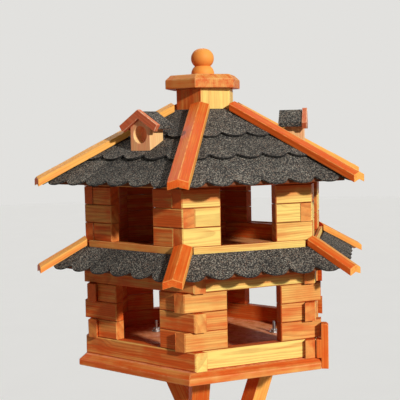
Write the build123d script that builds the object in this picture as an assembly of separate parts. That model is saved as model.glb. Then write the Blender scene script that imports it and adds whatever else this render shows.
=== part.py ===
from build123d import *

import os
from dataclasses import dataclass
from math import asin, cos, degrees, radians, sin, sqrt, tan

# Two-storey hexagonal bird feeder of stained timber on a crossed three-legged stand.
# Millimetres, +Z up, origin on the floor under the middle. A flat of the hexagon looks
# towards -Y and two corners lie on the X axis. An azimuth turns from -Y towards +X, and
# walls are numbered 0 to 5 with azimuth. Corner n lies between wall n and wall n + 1.

# Stand
STAND_HEIGHT = 760.0
LEG_SIZE = 32.0
LEG_LEAN = 25.2
LEG_TOP_RADIUS = 124.0
LEG_AXIS_DISTANCE = 37.0
LEG_AZIMUTHS = (-30, 90, 210)
BLOCK_HEIGHT = 70.0
SEAT_GAP = 0.2

# Base plate and the short upright board at its front right-hand corner
PLATE_LEDGE = 20.0
PLATE_THICKNESS = 18.0
PLATE_BEVEL_RUN = 11.0
PLATE_BEVEL_RISE = 8.0
SIDE_BOARD_WALL = 1
SIDE_BOARD_LENGTH = 20.0
SIDE_BOARD_PAST_CORNER = 13.6
SIDE_BOARD_THICKNESS = 12.0
SIDE_BOARD_HEIGHT = 76.0
SIDE_BOARD_ROUND = 5.0

# Log walls, alike in both storeys
WALL_CORNER_RADIUS = 227.0
LOG_THICKNESS = 18.0
COURSE_HEIGHT = 31.4
COURSE_GAP = 0.3
LOG_CHAMFER = 1.6
OPENING_WIDTH = 96.0
COURSES = 5
LOWER_OVERRUN = 8.0
UPPER_OVERRUN = 0.0
FLOOR_THICKNESS = 10.0
UPPER_TURN = -2.2

# Skirt roof between the storeys
SKIRT_SLOPE = 31.5
SKIRT_TOP_ABOVE_FLOOR = 16.1
SKIRT_OVERHANG = 61.0
SKIRT_BOARD_THICKNESS = 7.0
SKIRT_TRIM_HEIGHT = 8.5
SKIRT_TRIM_DEPTH = 6.0
SKIRT_BATTEN_REACH = 12.4
SKIRT_BATTEN_WIDTH = 32.0
SKIRT_BATTEN_THICKNESS = 10.0

# Main roof
ROOF_SLOPE = 29.9
ROOF_OVERHANG = 63.4
ROOF_BOARD_THICKNESS = 7.0
ROOF_ROW_SETBACKS = (0.0, 59.0, 119.0)
ROOF_TAB_PHASES = (-8.5, 21.0, 21.0)
ROOF_BATTEN_REACH = 10.88
ROOF_BATTEN_WIDTH = 34.0
ROOF_BATTEN_THICKNESS = 11.0
ROOF_BATTEN_TO_COLLAR = 10.0

# Shingles, alike on both roofs
SHINGLE_THICKNESS = 2.8
SHINGLE_LIFT = 3.5
SHINGLE_LAP = 9.0
SHINGLE_OVERHANG = 14.0
TAB_PITCH = 46.5
TAB_DEPTH = 9.0
TAB_STEPS = 6
MITRE_GAP = 0.3

# Collar, cap and finial
COLLAR_CORNER_RADIUS = 55.0
COLLAR_REVEAL = 17.7
CAP_OVERHANG = 16.5
CAP_HEIGHT = 25.0
CAP_CHAMFER = 9.0
CAP_TURN = -3.0
CAP_SHIFT = (-3.1, 1.2)
DOME_RADIUS = 20.5
DOME_HEIGHT = 16.5
GROOVE_RADIUS = 14.0
BALL_RADIUS = 20.6
BALL_HEIGHT = 32.0
CROWN_RADIUS = 28.0
CROWN_SHARE = 0.7

# Little house-shaped dormers on every other roof face
DORMER_WALLS = (1, 3, 5)
DORMER_INSET = 19.0
DORMER_WIDTH = 43.0
DORMER_DEPTH = 34.0
DORMER_WALL_HEIGHT = 46.4
DORMER_ROOF_SLOPE = 32.0
DORMER_ROOF_HALF_SPAN = 34.5
DORMER_ROOF_THICKNESS = 8.0
DORMER_ROOF_OVERHANG = 5.5
DORMER_ROOF_LENGTH = 50.0
DORMER_GABLE_HALF_SPAN = 42.5
DORMER_GABLE_THICKNESS = 13.5
DORMER_GABLE_DEPTH = 9.0
DORMER_HOLE_DIAMETER = 29.0
DORMER_HOLE_HEIGHT = 33.8
DORMER_HOLE_DEPTH = 20.0

HALF_SIDE = tan(radians(30))
HEX_FLAT = cos(radians(30))
WALL_APOTHEM = WALL_CORNER_RADIUS * HEX_FLAT
WALL_HALF_SIDE = WALL_APOTHEM * HALF_SIDE
PLATE_TOP = STAND_HEIGHT + PLATE_THICKNESS
PLATE_CORNER_RADIUS = WALL_CORNER_RADIUS + PLATE_LEDGE
UPPER_FLOOR_BOTTOM = PLATE_TOP + COURSES * COURSE_HEIGHT
UPPER_FLOOR_TOP = UPPER_FLOOR_BOTTOM + FLOOR_THICKNESS
WALLS_TOP = UPPER_FLOOR_TOP + COURSES * COURSE_HEIGHT - COURSE_GAP
SKIRT_EAVE_APOTHEM = WALL_APOTHEM + SKIRT_OVERHANG
ROOF_EAVE_APOTHEM = WALL_APOTHEM + ROOF_OVERHANG
DORMER_APOTHEM = WALL_APOTHEM - DORMER_INSET
CAP_CORNER_RADIUS = COLLAR_CORNER_RADIUS + CAP_OVERHANG
ROOF_SHINGLES_TOP = ROOF_BOARD_THICKNESS + SEAT_GAP + SHINGLE_THICKNESS + SHINGLE_LIFT
SKIRT_SHINGLES_TOP = SKIRT_BOARD_THICKNESS + 2 * SEAT_GAP + SHINGLE_THICKNESS


@dataclass(frozen=True)
class RoofPlane:
    """The underside of a roof's boards: its height where it meets the walls, and its slope."""

    meets_at: float
    height: float
    slope: float

    def level(self, apothem, above=0.0):
        """Height at a distance from the axis, a perpendicular amount above the underside."""
        run = self.meets_at - apothem
        return self.height + run * tan(radians(self.slope)) + above / cos(radians(self.slope))


ROOF = RoofPlane(
    WALL_CORNER_RADIUS * cos(radians(30 - abs(UPPER_TURN))),
    WALLS_TOP + SEAT_GAP,
    ROOF_SLOPE,
)
SKIRT = RoofPlane(WALL_APOTHEM, UPPER_FLOOR_TOP + SKIRT_TOP_ABOVE_FLOOR, SKIRT_SLOPE)


def turned(shape, azimuth):
    """The shape turned about the upright axis."""
    return Rot(0, 0, azimuth) * shape


def around(shape, azimuths):
    """One copy of the shape at each azimuth, as separate solids."""
    return Compound([turned(shape, azimuth) for azimuth in azimuths])


def hexagon(corner_radius, z, height):
    """Upright hexagonal prism standing at z."""
    return Pos(0, 0, z) * extrude(RegularPolygon(corner_radius, 6), height)


def profile_across(points, half_width):
    """Solid with a profile given as (distance out, height) and extruded both ways along the wall."""
    face = Plane.YZ * Polygon(*[(-out, up) for out, up in points], align=None)
    return extrude(face, half_width, both=True)


def mitre_wedge(apothem, low, high):
    """The upright wedge that wall 0's share of a roof fills, a mitre gap short of its neighbours."""
    reach = apothem * 1.2
    shift = MITRE_GAP / 2 / sin(radians(30))
    outline = Polygon((0, 0), (-reach * HALF_SIDE, -reach), (reach * HALF_SIDE, -reach), align=None)
    return Pos(0, -shift, low) * extrude(outline, high - low)


def arc_steps(start, middle, end, steps):
    """Points along an arc without its end, so that plain flat faces or cones follow it."""
    curve = ThreePointArc(start, middle, end)
    return [tuple(curve @ (step / steps))[:2] for step in range(steps)]


def solid_of(shape):
    """The one solid that a cut or an intersection leaves."""
    return max(shape.solids(), key=lambda s: s.volume)


# Logs


def corner_end(overrun):
    """Where a log ends at a corner: along the outer face and along the inner face."""
    outer = WALL_HALF_SIDE + overrun / HEX_FLAT
    return outer, outer + LOG_THICKNESS * HALF_SIDE


def jamb_end():
    """Where a log ends at the side of an opening, on both faces."""
    return OPENING_WIDTH / 2, OPENING_WIDTH / 2


def log(left, right):
    """Log of wall 0 at z = 0, with its ends given as (outer, inner) distances along the wall."""
    outer_line = -WALL_APOTHEM
    inner_line = outer_line + LOG_THICKNESS
    plan = Polygon(
        (left[0], outer_line),
        (right[0], outer_line),
        (right[1], inner_line),
        (left[1], inner_line),
        align=None,
    )
    solid = solid_of(extrude(plan, COURSE_HEIGHT - COURSE_GAP))
    front = solid.faces().sort_by(Axis.Y)[0]
    return chamfer(front.edges(), LOG_CHAMFER)


def mirrored_end(end):
    """The same end on the other side of the wall's middle."""
    return -end[0], -end[1]


def storey_logs(z, overrun, turn):
    """The sill ring, the six corner stacks and the top ring of a storey whose logs start at z."""
    through = corner_end(overrun)
    butting = corner_end(-LOG_THICKNESS - SEAT_GAP)
    jamb = jamb_end()
    whole = {}
    right_stub = {}
    left_stub = {}
    for runs_through, end in ((True, through), (False, butting)):
        whole[runs_through] = log(mirrored_end(end), end)
        right_stub[runs_through] = log(jamb, end)
        left_stub[runs_through] = log(mirrored_end(end), mirrored_end(jamb))

    def runs_through(wall, course):
        return (wall + course) % 2 == 1

    def laid(piece, wall, course):
        return turned(Pos(0, 0, z + course * COURSE_HEIGHT) * piece, 60 * wall + turn)

    def ring(course):
        return Compound([laid(whole[runs_through(wall, course)], wall, course) for wall in range(6)])

    stacks = []
    for corner in range(6):
        logs = []
        for course in range(1, COURSES - 1):
            logs.append(laid(right_stub[runs_through(corner, course)], corner, course))
            logs.append(laid(left_stub[runs_through(corner + 1, course)], corner + 1, course))
        stacks.append(Compound(logs))
    return ring(0), stacks, ring(COURSES - 1)


# Stand, base plate and floor


def leg(azimuth):
    """Square leg from the plate's underside down past the axis to the floor."""
    run_azimuth = azimuth + 180 + leg_twist()
    reach = STAND_HEIGHT / cos(radians(LEG_LEAN)) + 2 * LEG_SIZE
    bar = Pos(0, 0, -reach / 2 + LEG_SIZE) * Box(LEG_SIZE, LEG_SIZE, reach)
    leaning = Rot(-LEG_LEAN, 0, 0) * bar
    top = Pos(
        LEG_TOP_RADIUS * sin(radians(azimuth)),
        -LEG_TOP_RADIUS * cos(radians(azimuth)),
        STAND_HEIGHT,
    )
    placed = top * turned(leaning, run_azimuth)
    slab = Pos(0, 0, STAND_HEIGHT / 2) * Box(4 * STAND_HEIGHT, 4 * STAND_HEIGHT, STAND_HEIGHT)
    return solid_of(placed & slab)


def leg_twist():
    """The angle by which each leg runs past the upright axis instead of through it."""
    return degrees(asin(LEG_AXIS_DISTANCE / LEG_TOP_RADIUS))


def centre_block():
    """Three-sided block between the legs where they pass the axis, each leg against one side."""
    inradius = LEG_AXIS_DISTANCE - LEG_SIZE / 2 - SEAT_GAP
    run_to_axis = sqrt(LEG_TOP_RADIUS**2 - LEG_AXIS_DISTANCE**2)
    z = STAND_HEIGHT - run_to_axis / tan(radians(LEG_LEAN))
    side_azimuth = LEG_AZIMUTHS[0] - 90 + leg_twist()
    triangle = RegularPolygon(inradius, 3, major_radius=False, rotation=90)
    block = Pos(0, 0, z - BLOCK_HEIGHT / 2) * extrude(triangle, BLOCK_HEIGHT)
    return turned(solid_of(block), side_azimuth)


def side_board_line():
    """Distance from the axis to the inner face of the side board, just clear of the log ends."""
    return WALL_APOTHEM + LOWER_OVERRUN + SEAT_GAP


def base_plate():
    """Hexagonal plate with a bevelled upper edge, cut back where the side board is fixed."""
    edge = PLATE_THICKNESS - PLATE_BEVEL_RISE
    top_radius = PLATE_CORNER_RADIUS - PLATE_BEVEL_RUN / HEX_FLAT
    lower = hexagon(PLATE_CORNER_RADIUS, STAND_HEIGHT, edge)
    bevel = loft(
        [
            Pos(0, 0, STAND_HEIGHT + edge) * RegularPolygon(PLATE_CORNER_RADIUS, 6),
            Pos(0, 0, PLATE_TOP) * RegularPolygon(top_radius, 6),
        ]
    )
    cut_size = 2 * PLATE_CORNER_RADIUS
    cut_line = side_board_line() - SEAT_GAP
    cut_end = side_board_start() + SIDE_BOARD_LENGTH + SEAT_GAP
    cut = Pos(cut_end - cut_size / 2, -cut_line - cut_size / 2, STAND_HEIGHT) * Box(
        cut_size, cut_size, 4 * PLATE_THICKNESS
    )
    return solid_of((lower + bevel) - turned(cut, 60 * SIDE_BOARD_WALL))


def side_board_start():
    """Where the side board begins along its wall, a little past the front corner of the logs."""
    return -WALL_HALF_SIDE - SIDE_BOARD_PAST_CORNER


def side_board():
    """Short board up the plate's edge, thicker below the first log that runs out over it."""
    inner = side_board_line()
    outer = inner + SIDE_BOARD_THICKNESS
    top = STAND_HEIGHT + SIDE_BOARD_HEIGHT
    foot_inner = WALL_APOTHEM + SEAT_GAP
    foot_top = PLATE_TOP + COURSE_HEIGHT - SEAT_GAP
    points = [
        (foot_inner, PLATE_TOP + SEAT_GAP),
        (inner, PLATE_TOP + SEAT_GAP),
        (inner, STAND_HEIGHT),
        (outer, STAND_HEIGHT),
        (outer, top),
        (inner, top),
        (inner, foot_top),
        (foot_inner, foot_top),
    ]
    board = solid_of(profile_across(points, SIDE_BOARD_LENGTH / 2))
    edge = board.edges().filter_by(Axis.X).group_by(Axis.Z)[-1].sort_by(Axis.Y)[0]
    placed = Pos(side_board_start() + SIDE_BOARD_LENGTH / 2, 0, 0) * fillet(edge, SIDE_BOARD_ROUND)
    return turned(placed, 60 * SIDE_BOARD_WALL)


def upper_floor():
    """Hexagonal floor between the storeys."""
    floor = hexagon(WALL_CORNER_RADIUS, UPPER_FLOOR_BOTTOM, FLOOR_THICKNESS - COURSE_GAP)
    return turned(solid_of(floor), UPPER_TURN)


# Roofs


def roof_board(roof, inner, outer, thickness):
    """Wall 0's roof board, cut upright at both edges and mitred at the hips."""
    points = [
        (outer, roof.level(outer)),
        (outer, roof.level(outer, thickness)),
        (inner, roof.level(inner, thickness)),
        (inner, roof.level(inner)),
    ]
    slab = profile_across(points, outer)
    wedge = mitre_wedge(outer, roof.level(outer) - thickness, roof.level(0) + 3 * thickness)
    return solid_of(slab & wedge)


def shingle_row(roof, board, low, high, lift, phase):
    """One row of shingle on wall 0, with rounded tabs along its lower edge.

    The tabs start at a phase from the wall's middle, and the lower edge is lifted off the boards.
    """
    bottom_up = roof.level(low, board + lift)
    clear_end = high + SHINGLE_THICKNESS * sin(radians(roof.slope))
    tilt = roof.slope - degrees(asin(lift * cos(radians(roof.slope)) / (low - clear_end)))
    run = (low - clear_end) / cos(radians(tilt))
    plane = Plane(
        origin=(0, -low, bottom_up),
        x_dir=(1, 0, 0),
        z_dir=(0, -sin(radians(tilt)), cos(radians(tilt))),
    )
    tabs = int((low * HALF_SIDE + abs(phase)) / TAB_PITCH) + 1
    starts = [phase + TAB_PITCH * k for k in range(-tabs, tabs)]
    points = []
    for start in starts:
        tip = (start + TAB_PITCH / 2, 0)
        points += arc_steps((start, TAB_DEPTH), tip, (start + TAB_PITCH, TAB_DEPTH), TAB_STEPS)
    last = starts[-1] + TAB_PITCH
    points += [(last, TAB_DEPTH), (last, run), (starts[0], run)]
    sheet = extrude(plane * Polygon(*points, align=None), SHINGLE_THICKNESS)
    wedge = mitre_wedge(low + SHINGLE_THICKNESS, roof.level(low) - board, roof.level(0) + 4 * board)
    return solid_of(sheet & wedge)


def hip_batten(roof, beneath, tip_radius, top_radius, width, thickness):
    """Angle batten over the hip between wall 0 and wall 1, seated a little above what is beneath."""
    low = beneath + SEAT_GAP
    high = low + thickness
    outer = tip_radius * HEX_FLAT
    points = [
        (outer * 1.1, roof.level(outer * 1.1, low)),
        (outer * 1.1, roof.level(outer * 1.1, high)),
        (0, roof.level(0, high)),
        (0, roof.level(0, low)),
    ]
    slab = profile_across(points, outer)
    wedge = Polygon((0, 0), (0, -outer * 1.3), (outer * 1.3 * HALF_SIDE, -outer * 1.3), align=None)
    wing = slab & (Pos(0, 0, roof.level(outer) - 60) * extrude(wedge, 400))
    other = mirror(wing, Plane.YZ)
    pair = turned(wing, 0) + turned(other, 60)
    middle = (tip_radius + top_radius) / 2
    strip = Pos(0, -middle, roof.level(middle * HEX_FLAT)) * Box(
        width, tip_radius - top_radius, 600
    )
    return solid_of(pair & turned(strip, 30))


def trim_lath():
    """Lath of wall 0 along the top of the skirt, stopped at the hip battens."""
    inner = WALL_APOTHEM + SEAT_GAP
    outer = inner + SKIRT_TRIM_DEPTH
    z_inner = SKIRT.level(inner, SKIRT_BOARD_THICKNESS + SEAT_GAP)
    z_outer = SKIRT.level(outer, SKIRT_BOARD_THICKNESS + SEAT_GAP)
    top = z_inner + SKIRT_TRIM_HEIGHT
    lath = profile_across([(outer, z_outer), (outer, top), (inner, top), (inner, z_inner)], outer)
    strip = Pos(0, -WALL_CORNER_RADIUS, top) * Box(
        SKIRT_BATTEN_WIDTH + 2 * SEAT_GAP, WALL_CORNER_RADIUS, 20 * SKIRT_TRIM_HEIGHT
    )
    middle = lath - turned(strip, 30) - turned(strip, -30)
    return min(middle.solids(), key=lambda s: abs(s.center().X))


# Collar, cap and finial


def collar():
    """Hexagonal block that fills the top of the roof and carries the cap."""
    bottom = ROOF.level(COLLAR_CORNER_RADIUS * HEX_FLAT)
    return solid_of(hexagon(COLLAR_CORNER_RADIUS, bottom, cap_bottom() - bottom))


def cap_bottom():
    """Height of the cap's underside."""
    battens_top = ROOF_SHINGLES_TOP + SEAT_GAP + ROOF_BATTEN_THICKNESS
    return ROOF.level(COLLAR_CORNER_RADIUS * HEX_FLAT, battens_top) + COLLAR_REVEAL


def cap():
    """Hexagonal cap with its upper edges chamfered."""
    solid = solid_of(hexagon(CAP_CORNER_RADIUS, cap_bottom(), CAP_HEIGHT))
    top = solid.faces().sort_by(Axis.Z)[-1]
    return Pos(*CAP_SHIFT, 0) * turned(chamfer(top.edges(), CAP_CHAMFER), CAP_TURN)


def finial():
    """Turned finial: a flattened ball on a dome, with a groove between them."""
    base = cap_bottom() + CAP_HEIGHT
    groove = base + DOME_HEIGHT
    top = groove + BALL_HEIGHT
    half_crown = degrees(asin(CROWN_SHARE * GROOVE_RADIUS / CROWN_RADIUS))

    def crown_point(angle):
        out = CROWN_RADIUS * sin(radians(angle))
        return out, top - CROWN_RADIUS * (1 - cos(radians(angle)))

    shoulder = (DOME_RADIUS * 0.93, base + DOME_HEIGHT * 0.62)
    widest = (BALL_RADIUS, groove + BALL_HEIGHT * 0.46)
    points = [(0, base)]
    points += arc_steps((DOME_RADIUS, base), shoulder, (GROOVE_RADIUS, groove), 3)
    points += arc_steps((GROOVE_RADIUS, groove), widest, crown_point(half_crown), 6)
    points += arc_steps(crown_point(half_crown), crown_point(half_crown / 2), (0, top), 2)
    points.append((0, top))
    outline = Plane.XZ * Polygon(*points, align=None)
    return Pos(*CAP_SHIFT, 0) * solid_of(revolve(outline, Axis.Z))


# Dormers


def dormer_profile(half_width, apex, rise, thickness):
    """Upside-down V of a dormer's roof, as points across and up."""
    slope = radians(DORMER_ROOF_SLOPE)
    under = apex + rise / cos(slope)
    over = under + thickness / cos(slope)
    foot_up = over - half_width * tan(slope)
    inner_x = half_width - thickness * sin(slope)
    inner_up = foot_up - thickness * cos(slope)
    return [
        (half_width, foot_up),
        (0, over),
        (-half_width, foot_up),
        (-inner_x, inner_up),
        (0, under),
        (inner_x, inner_up),
    ]


def upright_slice(points, front, length):
    """Solid whose outline across the wall is given, from a distance out towards the axis."""
    face = Plane.XZ * Polygon(*points, align=None)
    return Pos(0, -front, 0) * extrude(face, -length)


def dormer_levels():
    """Heights of a dormer's foot at the front, its eaves and its gable."""
    foot = ROOF.level(DORMER_APOTHEM, ROOF_BOARD_THICKNESS)
    eaves = foot + DORMER_WALL_HEIGHT
    gable = eaves + DORMER_WIDTH / 2 * tan(radians(DORMER_ROOF_SLOPE))
    return foot, eaves, gable


def dormer_body():
    """House-shaped block on wall 0's roof boards, with a round blind hole in front."""
    foot, eaves, gable = dormer_levels()
    half = DORMER_WIDTH / 2
    outline = [(half, foot), (half, eaves), (0, gable), (-half, eaves), (-half, foot)]
    block = upright_slice(outline, DORMER_APOTHEM, DORMER_DEPTH)
    beneath = under_roof(ROOF_BOARD_THICKNESS + SEAT_GAP, DORMER_WIDTH)
    hole = Pos(0, -DORMER_APOTHEM, foot + DORMER_HOLE_HEIGHT) * (
        Rot(90, 0, 0) * Cylinder(DORMER_HOLE_DIAMETER / 2, 2 * DORMER_HOLE_DEPTH)
    )
    return solid_of(block - beneath - hole)


def under_roof(above, half_width):
    """Block that fills wall 0's share of the roof up to a perpendicular amount above its underside."""
    out = DORMER_APOTHEM + 20
    back = DORMER_APOTHEM - 100
    foot = ROOF.level(out) - 50
    points = [(out, foot), (out, ROOF.level(out, above)), (back, ROOF.level(back, above)), (back, foot)]
    return profile_across(points, half_width)


def dormer_seat():
    """Perpendicular height of the highest shingle under a dormer's roof, with a small gap."""
    return ROOF_SHINGLES_TOP + SEAT_GAP


def dormer_roof():
    """The roof of a dormer as one piece: two slabs with a thicker pair of gable boards in front."""
    gable = dormer_levels()[2]
    front = DORMER_APOTHEM + DORMER_ROOF_OVERHANG
    boards_outline = dormer_profile(DORMER_GABLE_HALF_SPAN, gable, SEAT_GAP, DORMER_GABLE_THICKNESS)
    slabs_outline = dormer_profile(DORMER_ROOF_HALF_SPAN, gable, SEAT_GAP, DORMER_ROOF_THICKNESS)
    boards = upright_slice(boards_outline, front, DORMER_GABLE_DEPTH)
    inset = DORMER_GABLE_DEPTH / 2
    slabs = upright_slice(slabs_outline, front - inset, DORMER_ROOF_LENGTH - inset)
    return solid_of(boards + slabs - under_roof(dormer_seat(), 2 * DORMER_GABLE_HALF_SPAN))


def dormer_shingles():
    """Shingle sheet folded over a dormer's roof, right behind the gable boards."""
    gable = dormer_levels()[2]
    rise = DORMER_ROOF_THICKNESS + 2 * SEAT_GAP
    half = DORMER_ROOF_HALF_SPAN + SHINGLE_THICKNESS
    points = dormer_profile(half, gable, rise, SHINGLE_THICKNESS)
    setback = DORMER_GABLE_DEPTH + SEAT_GAP
    front = DORMER_APOTHEM + DORMER_ROOF_OVERHANG - setback
    sheet = upright_slice(points, front, DORMER_ROOF_LENGTH - setback)
    return solid_of(sheet - under_roof(dormer_seat(), 2 * DORMER_GABLE_HALF_SPAN))


def dormer_footprint():
    """Upright column a little wider than a dormer's body, taken out of the shingles round it."""
    clear = 2 * SEAT_GAP
    foot = dormer_levels()[0]
    middle = DORMER_APOTHEM - DORMER_DEPTH / 2
    return Pos(0, -middle, foot) * Box(DORMER_WIDTH + 2 * clear, DORMER_DEPTH + 2 * clear, 200)


def main_roof_shingles():
    """The rows of shingle on the main roof, each as six sheets, cut round the dormers."""
    inner = COLLAR_CORNER_RADIUS * HEX_FLAT + SEAT_GAP
    starts = [ROOF_EAVE_APOTHEM - setback for setback in ROOF_ROW_SETBACKS]
    ends = [start - SHINGLE_LAP for start in starts[1:]] + [inner]
    rows = []
    for number, (low, high, phase) in enumerate(zip(starts, ends, ROOF_TAB_PHASES)):
        lift = SEAT_GAP if number == 0 else SHINGLE_LIFT
        sheet = shingle_row(ROOF, ROOF_BOARD_THICKNESS + SEAT_GAP, low, high, lift, phase)
        cut = solid_of(sheet - dormer_footprint())
        sheets = [turned(cut if wall in DORMER_WALLS else sheet, 60 * wall) for wall in range(6)]
        rows.append(Compound(sheets))
    return rows


WALL_AZIMUTHS = [60 * wall for wall in range(6)]

parts = {
    "base_plate": base_plate(),
    "side_board": side_board(),
    "upper_floor": upper_floor(),
    "stand_centre_block": centre_block(),
}

for number, azimuth in enumerate(LEG_AZIMUTHS, start=1):
    parts[f"stand_leg_{number}"] = leg(azimuth)

for storey, start, overrun, turn in (
    ("lower", PLATE_TOP, LOWER_OVERRUN, 0.0),
    ("upper", UPPER_FLOOR_TOP, UPPER_OVERRUN, UPPER_TURN),
):
    sill, stacks, top = storey_logs(start, overrun, turn)
    parts[f"{storey}_sill_logs"] = sill
    parts[f"{storey}_top_logs"] = top
    for number, stack in enumerate(stacks, start=1):
        parts[f"{storey}_corner_logs_{number}"] = stack

skirt_beneath = SKIRT_BOARD_THICKNESS + SEAT_GAP
skirt_inner = WALL_APOTHEM + SEAT_GAP
skirt_azimuths = [azimuth + UPPER_TURN for azimuth in WALL_AZIMUTHS]
skirt_shingle_inner = skirt_inner + SKIRT_TRIM_DEPTH + SEAT_GAP
parts["skirt_boards"] = around(
    roof_board(SKIRT, skirt_inner, SKIRT_EAVE_APOTHEM - SHINGLE_OVERHANG, SKIRT_BOARD_THICKNESS),
    skirt_azimuths,
)
parts["skirt_shingles"] = around(
    shingle_row(SKIRT, skirt_beneath, SKIRT_EAVE_APOTHEM, skirt_shingle_inner, SEAT_GAP, 0.0),
    skirt_azimuths,
)
parts["skirt_trim"] = around(trim_lath(), skirt_azimuths)
parts["skirt_hip_battens"] = around(
    hip_batten(
        SKIRT,
        SKIRT_SHINGLES_TOP,
        SKIRT_EAVE_APOTHEM / HEX_FLAT + SKIRT_BATTEN_REACH,
        WALL_CORNER_RADIUS + SEAT_GAP,
        SKIRT_BATTEN_WIDTH,
        SKIRT_BATTEN_THICKNESS,
    ),
    skirt_azimuths,
)

parts["roof_boards"] = around(
    roof_board(
        ROOF,
        COLLAR_CORNER_RADIUS * HEX_FLAT + SEAT_GAP,
        ROOF_EAVE_APOTHEM - SHINGLE_OVERHANG,
        ROOF_BOARD_THICKNESS,
    ),
    WALL_AZIMUTHS,
)
for number, row in enumerate(main_roof_shingles(), start=1):
    parts[f"roof_shingle_row_{number}"] = row
parts["roof_hip_battens"] = around(
    hip_batten(
        ROOF,
        ROOF_SHINGLES_TOP,
        ROOF_EAVE_APOTHEM / HEX_FLAT + ROOF_BATTEN_REACH,
        COLLAR_CORNER_RADIUS + ROOF_BATTEN_TO_COLLAR,
        ROOF_BATTEN_WIDTH,
        ROOF_BATTEN_THICKNESS,
    ),
    WALL_AZIMUTHS,
)
parts["collar"] = collar()
parts["cap"] = cap()
parts["finial"] = finial()

for number, wall in enumerate(DORMER_WALLS, start=1):
    parts[f"dormer_{number}_house"] = turned(dormer_body(), 60 * wall)
    parts[f"dormer_{number}_roof"] = turned(dormer_roof(), 60 * wall)
    parts[f"dormer_{number}_shingles"] = turned(dormer_shingles(), 60 * wall)

os.makedirs("parts", exist_ok=True)
for name, shape in parts.items():
    export_step(shape, f"parts/{name}.step")
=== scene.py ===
"""Looks of a two-storey hexagonal bird feeder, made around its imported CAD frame.

Every timber but the finial is a copy of its CAD piece with eased, worn edges and its own run of grain.
The finial is turned here. The felt shingles and the bolts are made by Geometry Nodes. Sizes are in
metres, in the frame of the CAD.
"""

from __future__ import annotations

import logging
import math
import random
from collections.abc import Iterable, Iterator, Sequence
from dataclasses import dataclass, replace
from enum import Enum
from typing import NamedTuple

import bmesh
import bpy
from mathutils import Matrix, Vector, noise

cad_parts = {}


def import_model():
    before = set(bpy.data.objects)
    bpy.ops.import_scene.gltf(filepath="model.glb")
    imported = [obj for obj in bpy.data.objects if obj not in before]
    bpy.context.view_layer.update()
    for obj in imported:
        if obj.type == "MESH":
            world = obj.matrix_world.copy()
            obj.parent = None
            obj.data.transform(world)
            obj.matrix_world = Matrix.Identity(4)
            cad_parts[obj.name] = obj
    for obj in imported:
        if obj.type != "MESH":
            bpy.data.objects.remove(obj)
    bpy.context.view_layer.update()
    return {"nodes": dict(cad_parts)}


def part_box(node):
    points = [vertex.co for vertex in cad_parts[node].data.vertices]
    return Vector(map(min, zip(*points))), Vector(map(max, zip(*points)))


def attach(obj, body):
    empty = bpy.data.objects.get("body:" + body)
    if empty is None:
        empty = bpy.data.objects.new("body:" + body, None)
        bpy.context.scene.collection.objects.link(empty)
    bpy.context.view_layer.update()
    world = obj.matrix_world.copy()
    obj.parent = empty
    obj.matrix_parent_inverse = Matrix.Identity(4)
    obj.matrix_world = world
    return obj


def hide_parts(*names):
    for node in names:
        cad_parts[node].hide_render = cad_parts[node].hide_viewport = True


log = logging.getLogger("bird_feeder")

BODY = "root"
GRAIN = "grain"
TONE = "tone"
WORN = "worn"

# Sizes that the felt and the bolts share with the CAD model
STAND_HEIGHT = 0.760
PLATE_TOP = 0.778
WALL_CORNER_RADIUS = 0.227
WALL_APOTHEM = WALL_CORNER_RADIUS * math.cos(math.radians(30))
UPPER_FLOOR_TOP = 0.945
WALLS_TOP = UPPER_FLOOR_TOP + 0.1567
COURSE_HEIGHT = 0.0314
UPPER_TURN = math.radians(-2.2)
COLLAR_CORNER_RADIUS = 0.055
TRIM_THICKNESS = 0.006
LEG_SIZE = 0.032
LEG_LEAN = math.radians(25.2)
LEG_TOP_RADIUS = 0.124
LEG_AXIS_DISTANCE = 0.037
LEG_AZIMUTHS = (-30, 90, 210)
SEAT_GAP = 0.0002

# Half a hexagon's side for each unit of its apothem
HALF_SIDE = math.tan(math.radians(30))

# Light painted into the tone along with sun bleaching, and the least that a face turned away takes as
# painted shade
PAINTED_LIGHT_AZIMUTH = math.radians(26)
PAINTED_LIGHT_ELEVATION = math.radians(30)
SHADED_SIDE = -0.4

# Least share of a face's normal along the grain, up or along X, for an end, a top or a right-hand face
END_FACE = 0.7
TOP_FACE = 0.95
RIGHT_FACE = 0.25

# Length of the level part of a face's normal, under which the face is a top or an underside
LEVEL_FACE = 0.2

# Share of a solid's distance from the upright axis that lies along X, where it is at a far side
FAR_SIDE = 0.9

# Angles and a distance that clean up the copy of a CAD mesh
FLAT_ANGLE = math.radians(0.8)
SHARP_ANGLE = math.radians(26)
JOIN_DISTANCE = 4e-6

# Ripples in worn timber, as how many a metre and how strong each is, and the even loss they start from
RIPPLES = ((38.0, 1.0), (110.0, 0.5))
EVEN_LOSS = 0.75

# Furthest that a solid's grain and its ripples are shifted, so that no two solids are alike
GRAIN_SHIFT = 3
RIPPLE_SHIFT = 9

# Steps that keep the drawn numbers of the walls, and of the uses on one wall, apart
WALL_STEP = 97.0
USE_STEP = 31.0

Colour = tuple[float, float, float]
Pair = tuple[float, float]


def linear(red: int, green: int, blue: int) -> Colour:
    """Turns a colour as seen on a screen, from 0 to 255, into the linear values that a shader takes."""
    shares = [channel / 255 for channel in (red, green, blue)]
    return tuple(s / 12.92 if s <= 0.04045 else ((s + 0.055) / 1.055) ** 2.4 for s in shares)


def outward(azimuth: float, distance: float, height: float = 0.0) -> Vector:
    """Point at a distance from the feeder's upright axis, its azimuth in radians from -Y towards +X."""
    return Vector((distance * math.sin(azimuth), -distance * math.cos(azimuth), height))


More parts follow.
